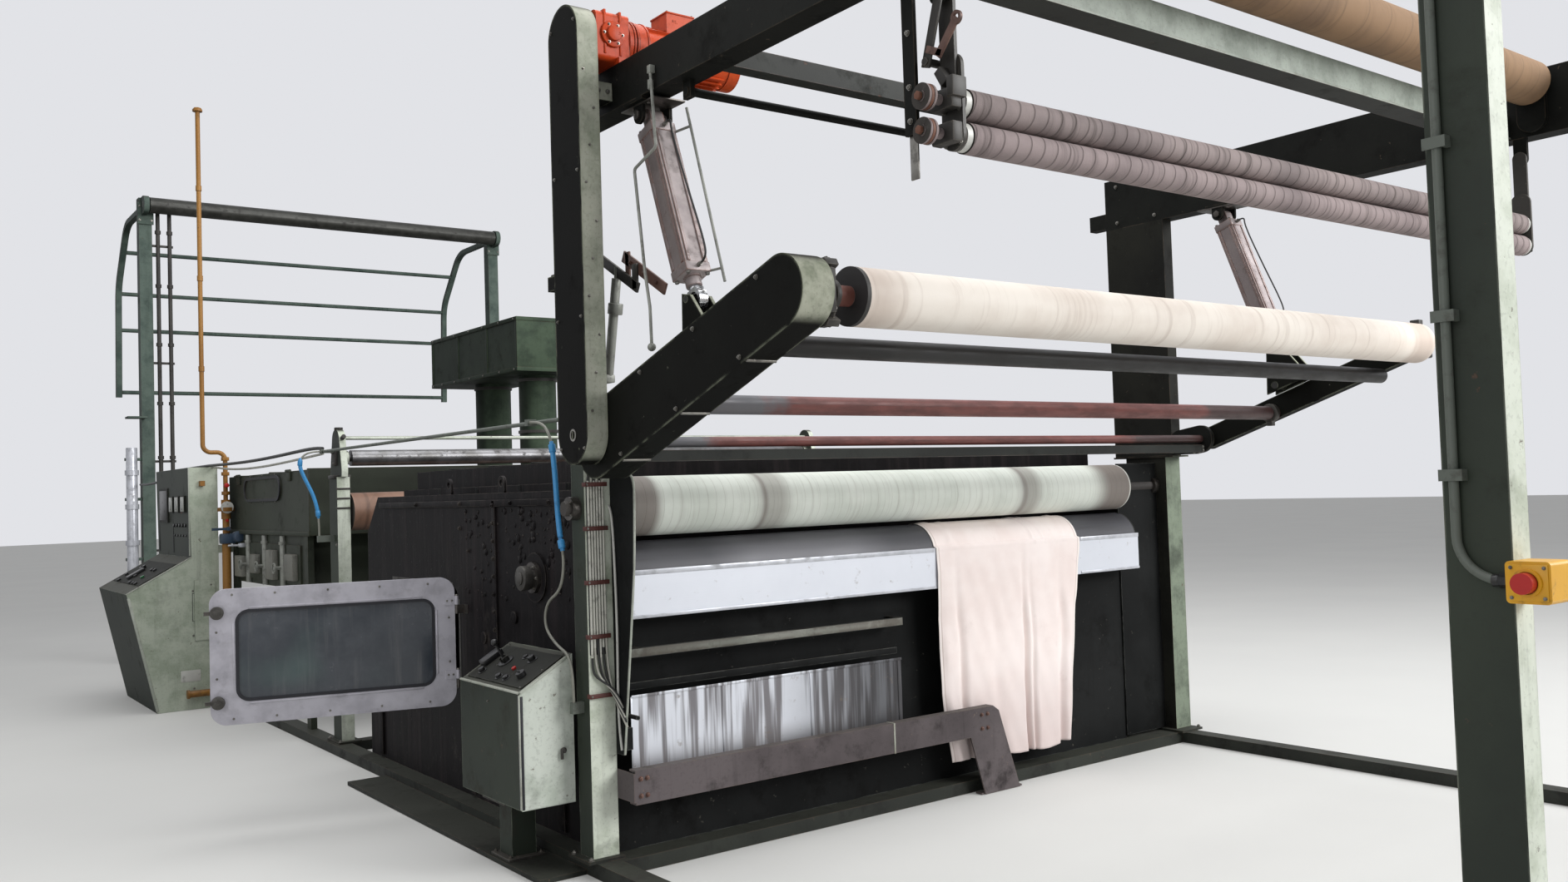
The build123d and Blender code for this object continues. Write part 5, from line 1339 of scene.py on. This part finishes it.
def dressDesk():
    bm = bmesh.new()
    addBox(bm, (-2.2045, 0.118, 0.290), (-2.1995, 0.128, 0.748), 0.001)
    addBox(bm, (0.004, 0.1165, -0.004), (0.262, 0.1275, 0.0075), 0.0015, deskTurn)
    addBox(bm, (-0.004, 0.1265, 0.0), (0.0065, 0.716, 0.0075), 0.0015, deskTurn)
    newPiece(bm, "deskStrips", "paleTrim", "frame")
    bm = bmesh.new()
    addBox(bm, (-2.1990, 0.1165, 0.290), (-2.1880, 0.1205, 0.742), 0.001)
    addBox(bm, (-2.2030, 0.130, 0.292), (-2.1995, 0.138, 0.746), 0.001)
    newPiece(bm, "deskSeams", "sealRubber", "frame")
    bm = bmesh.new()
    for s in (0.014, 0.140, 0.262):
        for y in (0.160, 0.682):
            addBolt(bm, deskTurn @ Vector((s * 0.92 + 0.016, y, 0.006)),
                deskTurn.to_3x3() @ Vector((0, 0, 1)), 0.0045)
    for s, y in ((0.120, 0.520), (0.180, 0.520)):
        addBolt(bm, deskTurn @ Vector((s, y + 0.030, 0.006)), deskTurn.to_3x3() @ Vector((0, 0, 1)), 0.004)
    newPiece(bm, "deskScrews", "boltSteel", "frame")
    bm = bmesh.new()
    for s, y, r, h in ((0.060, 0.350, 0.013, 0.014), (0.060, 0.420, 0.013, 0.014),
        (0.190, 0.330, 0.016, 0.022), (0.200, 0.410, 0.012, 0.010), (0.070, 0.610, 0.014, 0.018)):
        addRod(bm, (s, y, 0.0055), (s, y, 0.006 + h), r, 22, bevel=0.002, turn=deskTurn)
        addRod(bm, (s, y, 0.0055), (s, y, 0.009), r * 1.5, 22, bevel=0.001, turn=deskTurn)
    addBox(bm, (0.100, 0.630, 0.005), (0.200, 0.690, 0.030), 0.004, deskTurn)
    addRod(bm, (0.150, 0.520, 0.004), (0.150, 0.520, 0.012), 0.036, 26, bevel=0.003, turn=deskTurn)
    newPiece(bm, "deskButtons", "blackPlastic", "frame")
    bm = bmesh.new()
    addRod(bm, (0.120, 0.380, 0.0055), (0.120, 0.380, 0.016), 0.010, 20, bevel=0.002, turn=deskTurn)
    newPiece(bm, "deskRedLamp", "redPlastic", "frame")
    bm = bmesh.new()
    addRod(bm, (-2.012, 0.1205, 0.503), (-2.012, 0.112, 0.503), 0.012, 20, bevel=0.002)
    addBar(bm, -2.018, -2.008, (0.112, 0.503), (0.108, 0.498), 0.010)
    addBox(bm, (-2.030, 0.104, 0.468), (-2.018, 0.112, 0.512), 0.002)
    addBox(bm, (-2.175, 0.348, 0.262), (-1.955, 0.572, 0.286), 0.003)
    addBox(bm, (-2.150, 0.370, 0.0195), (-1.980, 0.550, 0.032), 0.003)
    for x in (-2.135, -1.995):
        for y in (0.386, 0.534):
            addBolt(bm, (x, y, 0.032), (0, 0, 1), 0.009)
    newPiece(bm, "deskLatch", "castPaint", "frame")
    boltSet("deskLampScrew", [(-2.2, 0.430, 0.690)], (-1, 0, 0), 0.006, "frame")


dressDesk()


# console: pale edge strips, doors, blank plates, meters, panel switches, orange stub
consoleSpec = {"low": (-2.657, 0.905), "slope": math.atan2(0.251, 0.451)}
consoleTurn = Matrix.Translation((consoleSpec["low"][0], 0,
    consoleSpec["low"][1])) @ Matrix.Rotation(-consoleSpec["slope"], 4, "Y")


def dressConsole():
    bm = bmesh.new()
    lean = math.atan2(-(-2.459 + 2.657), 0.905)
    edge = Matrix.Translation((-2.657, 0, 0.905)) @ Matrix.Rotation(math.pi + lean, 4, "Y")
    addBox(bm, (-0.016, 5.8965, 0.030), (0.004, 5.9065, 0.915), 0.0015, edge)
    addBox(bm, (-0.004, 5.8965, -0.002), (0.520, 5.9065, 0.006), 0.0015, consoleTurn)
    addBox(bm, (-2.222, 5.8965, 1.168), (-2.212, 5.9065, 1.845), 0.0015)
    newPiece(bm, "consoleStrips", "paleTrim", "frame")
    bm = bmesh.new()
    for x0, x1, z0, z1 in ((-2.205, -2.035, 0.878, 0.881), (-2.205, -2.035, 0.666, 0.669),
        (-2.205, -2.202, 0.666, 0.881), (-2.038, -2.035, 0.666, 0.881)):
        addBox(bm, (x0, 5.8980, z0), (x1, 5.9005, z1), 0.0)
    for y in (5.960, 6.500, 7.040):
        addBox(bm, (-2.2125, y - 0.002, 1.180), (-2.2085, y + 0.002, 1.835), 0.0)
    newPiece(bm, "consoleSeams", "sealRubber", "frame")
    bm = bmesh.new()
    addBox(bm, (-2.292, 5.8975, 0.212), (-2.152, 5.9005, 0.298), 0.001)
    newPiece(bm, "consoleBlankPlate", "whitePlastic", "frame")
    bm = bmesh.new()
    addRod(bm, (-2.258, 5.860, 0.122), (-2.014, 5.860, 0.122), 0.026, 24, bevel=0.003)
    addRod(bm, (-2.014, 5.860, 0.122), (-2.014, 5.902, 0.122), 0.026, 24, bevel=0.003)
    addRing(bm, (-2.250, 5.860, 0.122), (1, 0, 0), 0.026, 0.008, 0.016, 24)
    addRing(bm, (-2.040, 5.860, 0.122), (1, 0, 0), 0.026, 0.008, 0.016, 24)
    newPiece(bm, "orangeStub", "gasPaint", "frame")
    bm = bmesh.new()
    for y in (6.010, 6.220, 6.430):
        addBox(bm, (-2.2335, y + 0.008, 1.508), (-2.2305, y + 0.122, 1.622), 0.002)
    newPiece(bm, "meterFronts", "meterFace", "frame")
    bm = bmesh.new()
    for y in (6.010, 6.220, 6.430):
        addBar(bm, -2.2345, -2.2330, (y + 0.065, 1.530), (y + 0.085, 1.590), 0.003, 0.0)
        addRod(bm, (-2.2330, y + 0.065, 1.526), (-2.2355, y + 0.065, 1.526), 0.006, 14)
    addBox(bm, (-2.2285, 6.660, 1.440), (-2.2265, 6.940, 1.680), 0.001)
    for y in (6.050, 6.150, 6.250, 6.350, 6.450):
        addRod(bm, (-2.2085, y, 1.400), (-2.222, y, 1.400), 0.014, 20, bevel=0.002)
        addRod(bm, (-2.2085, y, 1.320), (-2.216, y, 1.320), 0.010, 20, bevel=0.002)
    for s, y in ((0.120, 6.120), (0.120, 6.220), (0.120, 6.340), (0.300, 6.240), (0.300, 6.340),
        (0.200, 6.520), (0.120, 6.820), (0.200, 6.900)):
        addRod(bm, (s, y, 0.0055), (s, y, 0.020), 0.015, 20, bevel=0.002, turn=consoleTurn)
    addBox(bm, (0.150, 6.560, 0.005), (0.290, 6.640, 0.028), 0.004, consoleTurn)
    newPiece(bm, "consoleSwitches", "blackPlastic", "frame")
    bm = bmesh.new()
    addRod(bm, (-2.2085, 6.160, 1.520), (-2.224, 6.160, 1.520), 0.022, 22, bevel=0.003)
    newPiece(bm, "consoleRedLamp", "redPlastic", "frame")
    places = [(-2.200, 5.8965, z) for z in (0.160, 0.560, 0.900)] + [
        (-2.070, 5.8925, z) for z in (0.560, 0.940)]
    boltSet("consoleScrews", places, (0, -1, 0), 0.007, "frame")


dressConsole()


# gas train: unions, valve block with its blue actuator, gauge and red cap
def dressGasLine():
    x, y = -1.968, 5.830
    bm = bmesh.new()
    for z in (1.905, 1.790, 1.640):
        addRod(bm, (x, y, z - 0.014), (x, y, z + 0.014), 0.030, 8, bevel=0.002)
    for z in (2.600, 3.300, 4.000):
        addRing(bm, (-2.128, y, z), (0, 0, 1), 0.0165, 0.005, 0.040, 28)
    addRod(bm, (-2.128, y, 4.616), (-2.128, y, 4.628), 0.030, 6, bevel=0.002)
    newPiece(bm, "gasUnions", "gasPaint", "frame")
    bm = bmesh.new()
    addRod(bm, (x, y - 0.030, 1.530), (x, y - 0.052, 1.530), 0.046, 32, bevel=0.004)
    addRod(bm, (x, y - 0.010, 1.530), (x, y - 0.032, 1.530), 0.014, 16)
    newPiece(bm, "gasGauge", "whitePlastic", "frame")
    bm = bmesh.new()
    addRod(bm, (x + 0.064, y - 0.030, 1.300), (x + 0.064, y - 0.150, 1.306), 0.042, 28, bevel=0.010)
    addBox(bm, (x - 0.050, y - 0.060, 1.250), (x + 0.060, y + 0.020, 1.330), 0.012)
    addRod(bm, (x + 0.060, y - 0.050, 1.290), (x + 0.150, y - 0.050, 1.300), 0.034, 24, bevel=0.008)
    newPiece(bm, "gasActuator", "blueMetal", "frame")
    bm = bmesh.new()
    addRod(bm, (x, y - 0.016, 1.700), (x, y - 0.046, 1.700), 0.018, 20, bevel=0.003)
    addRod(bm, (x, y - 0.016, 1.430), (x, y - 0.036, 1.430), 0.012, 20, bevel=0.002)
    newPiece(bm, "gasRedCaps", "redPlastic", "frame")


dressGasLine()


# singeing hood: gasketed window, hinges, handle; burner case: boxes and ducts
def lobeRing(bm, x0, x1, centre0, centre1, radius, thick):
    inner, outer, sides = [], [], 14
    for grow, target in ((0.0, inner), (thick, outer)):
        for centre, start in ((centre1, -math.pi / 2), (centre0, math.pi / 2)):
            for i in range(sides + 1):
                angle = start + math.pi * i / sides
                target.append(bm.verts.new((x0, centre[0] + (radius + grow) * math.cos(angle),
                    centre[1] + (radius + grow) * math.sin(angle))))
    count = len(inner)
    loops = [[bm.edges.new((ring[i], ring[(i + 1) % count])) for i in range(count)]
        for ring in (inner, outer)]
    faces = bmesh.ops.bridge_loops(bm, edges=loops[0] + loops[1])["faces"]
    grown = bmesh.ops.extrude_face_region(bm, geom=faces)["geom"]
    bmesh.ops.translate(bm, vec=(x1 - x0, 0, 0),
        verts=[item for item in grown if isinstance(item, bmesh.types.BMVert)])


def dressHood():
    bm = bmesh.new()
    lobeRing(bm, -1.9085, -1.916, (4.640, 1.656), (5.420, 1.656), 0.070, 0.020)
    newPiece(bm, "hoodWindowGasket", "sealRubber", "frame")
    spots = [(-1.908, y, 1.656 + dz) for y in (4.70, 5.03, 5.36) for dz in (-0.098, 0.098)]
    boltSet("hoodWindowScrews", [(-1.900, y, z) for _, y, z in spots], (-1, 0, 0), 0.006, "frame")
    bm = bmesh.new()
    addBox(bm, (-1.910, 3.900, 1.325), (-1.900, 6.000, 1.355), 0.003)
    addBox(bm, (-1.906, 3.896, 1.355), (-1.900, 3.926, 1.765), 0.002)
    for y in (4.300, 5.640):
        addBox(bm, (-1.914, y, 1.700), (-1.900, y + 0.080, 1.768), 0.003)
        addRod(bm, (-1.912, y - 0.006, 1.768), (-1.912, y + 0.086, 1.768), 0.010, 16)
    for y in (3.980, 4.900, 5.900):
        addBox(bm, (-1.880, y, 1.765), (1.830, y + 0.040, 1.775), 0.002)
    newPiece(bm, "hoodTrim", "hoodPaint", "frame")
    bm = bmesh.new()
    for y0, y1, z0, z1 in ((4.220, 4.420, 1.020, 1.200), (4.700, 4.880, 1.010, 1.220),
        (5.160, 5.330, 1.040, 1.180), (5.560, 5.760, 1.000, 1.160)):
        addBox(bm, (-1.930, y0, z0), (-1.890, y1, z1), 0.008)
    newPiece(bm, "burnerBoxes", "burnerGrey", "frame")
    bm = bmesh.new()
    for y in (4.560, 5.020, 5.470):
        addRod(bm, (-1.895, y, 0.965), (-1.895, y, 1.320), 0.020, 20, bevel=0.002)
        addRing(bm, (-1.895, y, 1.270), (0, 0, 1), 0.020, 0.007, 0.020, 24)
        addRod(bm, (-1.895, y, 1.100), (-1.960, y, 1.100), 0.013, 18)
        addRing(bm, (-1.958, y, 1.100), (1, 0, 0), 0.030, 0.008, 0.010, 24)
    newPiece(bm, "burnerPipes", "palePipe", "frame")
    bm = bmesh.new()
    addRod(bm, (-1.930, 5.600, 1.240), (-2.010, 5.600, 1.240), 0.008, 14)
    addBox(bm, (-1.932, 5.570, 1.225), (-1.890, 5.630, 1.255), 0.003)
    newPiece(bm, "burnerHandle", "fasciaEdge", "frame")


dressHood()


# mid posts: clamp blocks, tube clips, valve and the line to the console
def dressMidPosts():
    bm = bmesh.new()
    for z in (1.500, 1.560, 1.620):
        addBox(bm, (-1.905, 3.326, z), (-1.815, 3.332, z + 0.012), 0.001)
    addBox(bm, (-1.915, 3.352, 1.690), (-1.805, 3.458, 1.712), 0.004)
    addBox(bm, (-1.896, 3.372, 1.772), (-1.824, 3.440, 1.866), 0.008)
    addBox(bm, (1.814, 3.372, 1.772), (1.886, 3.440, 1.866), 0.008)
    addRod(bm, (-1.862, 3.330, 1.940), (-1.862, 3.296, 1.952), 0.014, 18, bevel=0.002)
    addRod(bm, (-1.860, 3.405, 1.994), (-1.860, 3.405, 2.012), 0.026, 20, bevel=0.003)
    newPiece(bm, "midPostBlocks", "castPaint", "frame")
    bm = bmesh.new()
    for x in (-1.815, 1.805):
        addRing(bm, (x, *axes["brown"]), (1, 0, 0), 0.027, 0.030, 0.010, 36)
    newPiece(bm, "brownBearings", "oilySteel", "frame")
    spots = [(-1.900, 3.345, z) for z in (0.30, 0.62, 0.95, 1.28)] + [
        (-1.896, 3.392, 1.786), (-1.896, 3.422, 1.852)]
    boltSet("midPostBolts", spots, (-1, 0, 0), 0.008, "frame")
    line = [(-1.962, 3.400, 1.880), (-1.966, 3.520, 1.892), (-1.975, 3.950, 1.880), (-2.000, 4.600, 1.858),
        (-2.040, 5.300, 1.850), (-2.075, 5.880, 1.858), (-2.080, 6.400, 1.853), (-2.080, 7.050, 1.853),
        (-2.060, 7.200, 1.842), (-2.020, 8.100, 1.760), (-1.980, 9.000, 1.770), (-1.930, 9.440, 1.780)]
    makeTube("overheadCable", line, 0.011, "blackCable", "frame", smooth=4)
    makeTube("secondCable", [(-1.960, 3.400, 1.848), (-1.966, 3.70, 1.838), (-1.985, 4.30, 1.812),
        (-2.012, 5.10, 1.800), (-2.030, 5.70, 1.826), (-2.050, 5.90, 1.852), (-2.056, 6.60, 1.851)], 0.008,
        "greyCable", "frame", smooth=4)


dressMidPosts()


# tower: standing pipes with couplings, ties, gussets; exhaust: bands and flanges
def dressTower():
    bm = bmesh.new()
    addRod(bm, (-2.008, 9.440, 0.060), (-2.008, 9.440, 2.150), 0.052, 32, bevel=0.003)
    for z in (0.62, 1.20, 1.56, 1.90):
        addRing(bm, (-2.008, 9.440, z), (0, 0, 1), 0.0515, 0.012, 0.050, 40)
    newPiece(bm, "silverPipe", "fasciaEdge", "frame")
    bm = bmesh.new()
    for x in (-1.735, -1.626):
        addRod(bm, (x, 9.460, 0.060), (x, 9.460, 4.580), 0.020, 20)
        for z in (0.40, 1.05, 1.30, 1.70, 2.05, 2.60, 3.20, 3.80, 4.35):
            addRing(bm, (x, 9.460, z), (0, 0, 1), 0.0195, 0.009, 0.034, 24)
    for z in (1.10, 2.00, 3.00, 4.20):
        addBox(bm, (-1.800, 9.470, z), (-1.590, 9.486, z + 0.024), 0.002)
    newPiece(bm, "towerConduits", "castPaint", "frame")
    bm = bmesh.new()
    for z in (1.02, 1.62, 2.02):
        addBox(bm, (-2.066, 9.470, z), (-1.905, 9.490, z + 0.030), 0.002)
    for x0, x1 in ((-1.925, -1.775), (1.835, 1.985)):
        addBox(bm, (x0, 9.435, 0.074), (x1, 9.452, 0.300), 0.003)
        addBox(bm, (x0, 9.435, 4.420), (x1, 9.452, 4.640), 0.003)
    addBox(bm, (-2.060, 9.300, 2.440), (-1.880, 9.460, 2.460), 0.003)
    newPiece(bm, "towerGussets", "towerPaint", "frame")
    spots = [(x, 9.435, z) for x in (-1.905, -1.795, 1.855, 1.965) for z in (0.12, 0.25, 4.46, 4.60)]
    boltSet("towerBolts", spots, (0, -1, 0), 0.011, "frame")


dressTower()


def dressExhaust():
    bm = bmesh.new()
    for y in (6.890, 7.600, 8.350, 9.070):
        addBox(bm, (0.992, y, 2.776), (1.828, y + 0.040, 3.316), 0.004)
    for z in (2.776, 3.276):
        addBox(bm, (0.988, 6.886, z), (1.832, 9.114, z + 0.040), 0.004)
    newPiece(bm, "exhaustBands", "exhaustPaint", "frame")
    bm = bmesh.new()
    for y in (7.400, 8.500):
        for z in (1.130, 1.650, 2.200, 2.730):
            addRing(bm, (1.450, y, z), (0, 0, 1), 0.1895, 0.014, 0.030, 56)
    newPiece(bm, "ductBands", "castPaint", "frame")
    spots = [(0.988, y, z) for y in (6.95, 7.30, 7.70, 8.05, 8.45, 8.80, 9.05) for z in (2.796, 3.296)]
    boltSet("exhaustBolts", spots, (-1, 0, 0), 0.010, "frame")


dressExhaust()


# stop box: lid, screws, gland and blank plate; claw and stays by the press arm
def dressStopBox():
    bm = bmesh.new()
    addBox(bm, (-1.9890, -3.646, 1.303), (-1.985, -3.578, 1.369), 0.0015)
    addRing(bm, (-1.992, -3.612, 1.336), (1, 0, 0), 0.0205, 0.005, 0.008, 28)
    newPiece(bm, "stopLid", "yellowPlastic", "frame")
    spots = [(-1.990, y, z) for y in (-3.640, -3.584) for z in (1.309, 1.363)]
    boltSet("stopScrews", spots, (-1, 0, 0), 0.0032, "frame")
    bm = bmesh.new()
    addRod(bm, (-1.9595, -3.573, 1.336), (-1.9595, -3.552, 1.336), 0.014, 6, bevel=0.001)
    addRod(bm, (-1.9595, -3.552, 1.336), (-1.9595, -3.540, 1.336), 0.012, 18, bevel=0.001)
    newPiece(bm, "stopGland", "blackPlastic", "frame")


dressStopBox()


def dressStays():
    bm = bmesh.new()
    addBar(bm, -1.905, -1.893, (0.012, 2.560), (-0.375, 2.347), 0.040)
    addBar(bm, -1.905, -1.893, (-0.372, 2.352), (-0.372, 2.418), 0.034)
    newPiece(bm, "leverStay", "castPaint", "frame")
    bm = bmesh.new()
    addBar(bm, -1.893, -1.883, (-0.286, 2.472), (-0.556, 2.318), 0.046)
    addBar(bm, -1.893, -1.883, (-0.300, 2.480), (-0.300, 2.400), 0.030)
    for y, z in ((-0.330, 2.446), (-0.430, 2.390), (-0.520, 2.340)):
        addBolt(bm, (-1.893, y, z), (-1, 0, 0), 0.009)
    newPiece(bm, "rustBracket", "rustyRod", "frame")
    bm = bmesh.new()
    addRod(bm, (-1.900, -0.227, 2.400), (-1.900, -0.139, 2.008), 0.019, 24, bevel=0.002)
    addRod(bm, (-1.900, -0.216, 2.302), (-1.900, -0.206, 2.258), 0.030, 24, bevel=0.004)
    addRod(bm, (-1.900, -0.227, 2.400), (-1.900, -0.231, 2.446), 0.010, 16)
    addBox(bm, (-1.920, -0.160, 1.990), (-1.880, 0.004, 2.022), 0.004)
    newPiece(bm, "paleStrut", "palePipe", "frame")
    bm = bmesh.new()
    addRod(bm, (-1.798, -0.618, 3.000), (-1.798, -0.840, 2.304), 0.0055, 14)
    place = Matrix.Translation((-1.860,
        *cylinderSpec["top"])) @ Matrix.Rotation(-math.radians(cylinderSpec["lean"]), 4, "X")
    for z in (-0.070, -0.676):
        spot = place @ Vector((0.052, 0, z))
        share = (spot.z - 2.304) / (3.000 - 2.304)
        addRod(bm, spot, (-1.798, -0.840 + share * 0.222, spot.z), 0.005, 12)
    newPiece(bm, "stayRod", "palePipe", "near_barrel")
    bm = bmesh.new()
    y, z = armSpec["tip"]
    for rise, lean in ((0.066, -0.5), (-0.070, 0.55)):
        turn = Matrix.Translation((-1.876, y - 0.012, z + rise)) @ Matrix.Rotation(lean, 4, "X")
        addBox(bm, (-0.028, -0.062, -0.012), (0.024, 0.034, 0.014), 0.004, turn)
        addRod(bm, (-0.002, -0.040, -0.020), (-0.002, -0.040, 0.030), 0.010, 6, bevel=0.001, turn=turn)
    newPiece(bm, "rollerClaws", "castPaint", "press_arm")


dressStays()
print("desk, console, gas line, hood, posts and tower dressed")


# pale floor and plain light
stageLook = {"floor": tint(196, 196, 193), "size": 60, "lift": -0.002, "sky": 1.0}


def paleFloor():
    s = Surface("paleFloor")
    path = s.node("ShaderNodeLightPath", None, None, out="Is Camera Ray")
    colour = s.mix(s.noise(0.7, 3), stageLook["floor"], tint(188, 188, 186))
    shader = s.node("ShaderNodeBsdfPrincipled", None, {"Base Color": colour, "Roughness": 0.75})
    glow = s.node("ShaderNodeEmission", None, {"Color": colour, "Strength": 0.25})
    both = s.node("ShaderNodeAddShader", None, {0: shader, 1: glow})
    picked = s.node("ShaderNodeMixShader", None, {0: path, 1: shader, 2: both})
    s.node("ShaderNodeOutputMaterial", None, {"Surface": picked})
    return s.material


def makeStage():
    bm = bmesh.new()
    bmesh.ops.create_grid(bm, x_segments=4, y_segments=4, size=stageLook["size"])
    bmesh.ops.translate(bm, vec=(0, 3, stageLook["lift"]), verts=bm.verts)
    mesh = bpy.data.meshes.new("paleFloor")
    bm.to_mesh(mesh)
    bm.free()
    mesh.materials.append(paleFloor())
    floor = bpy.data.objects.new("paleFloor", mesh)
    bpy.context.scene.collection.objects.link(floor)


makeStage()

lamps = {
    "frontRight": {"place": (5.5, -9.0, 6.5), "aim": (0, 0, 1.4), "size": 6.0, "power": 1450},
    "overhead": {"place": (-0.5, 1.0, 9.5), "aim": (0, 1, 0), "size": 9.0, "power": 760},
    "nearSide": {"place": (-9.0, -3.0, 4.0), "aim": (0, 1, 1.2), "size": 6.0, "power": 130},
}
for lampName, lamp in lamps.items():
    data = bpy.data.lights.new(lampName, "AREA")
    data.size, data.energy = lamp["size"], lamp["power"]
    lampObject = bpy.data.objects.new(lampName, data)
    bpy.context.scene.collection.objects.link(lampObject)
    lampObject.location = lamp["place"]
    aim = Vector(lamp["aim"]) - Vector(lamp["place"])
    lampObject.rotation_euler = aim.to_track_quat("-Z", "Y").to_euler()


def paleWorld():
    world = bpy.data.worlds.new("paleWorld")
    world.use_nodes = True
    tree = world.node_tree
    tree.nodes.clear()
    path = tree.nodes.new("ShaderNodeLightPath")
    seen = tree.nodes.new("ShaderNodeMath")
    seen.operation = "MAXIMUM"
    tree.links.new(path.outputs["Is Camera Ray"], seen.inputs[0])
    tree.links.new(path.outputs["Is Glossy Ray"], seen.inputs[1])
    also = tree.nodes.new("ShaderNodeMath")
    also.operation = "MAXIMUM"
    tree.links.new(seen.outputs[0], also.inputs[0])
    tree.links.new(path.outputs["Is Transmission Ray"], also.inputs[1])
    strength = tree.nodes.new("ShaderNodeMapRange")
    strength.inputs["To Min"].default_value = 0.27
    strength.inputs["To Max"].default_value = 0.80
    tree.links.new(also.outputs[0], strength.inputs["Value"])
    sky = tree.nodes.new("ShaderNodeBackground")
    sky.inputs["Color"].default_value = (0.95, 0.96, 1.0, 1.0)
    tree.links.new(strength.outputs[0], sky.inputs["Strength"])
    end = tree.nodes.new("ShaderNodeOutputWorld")
    tree.links.new(sky.outputs[0], end.inputs["Surface"])
    bpy.context.scene.world = world


paleWorld()
bpy.context.scene.view_settings.view_transform = "Standard"
print("stage and light made")
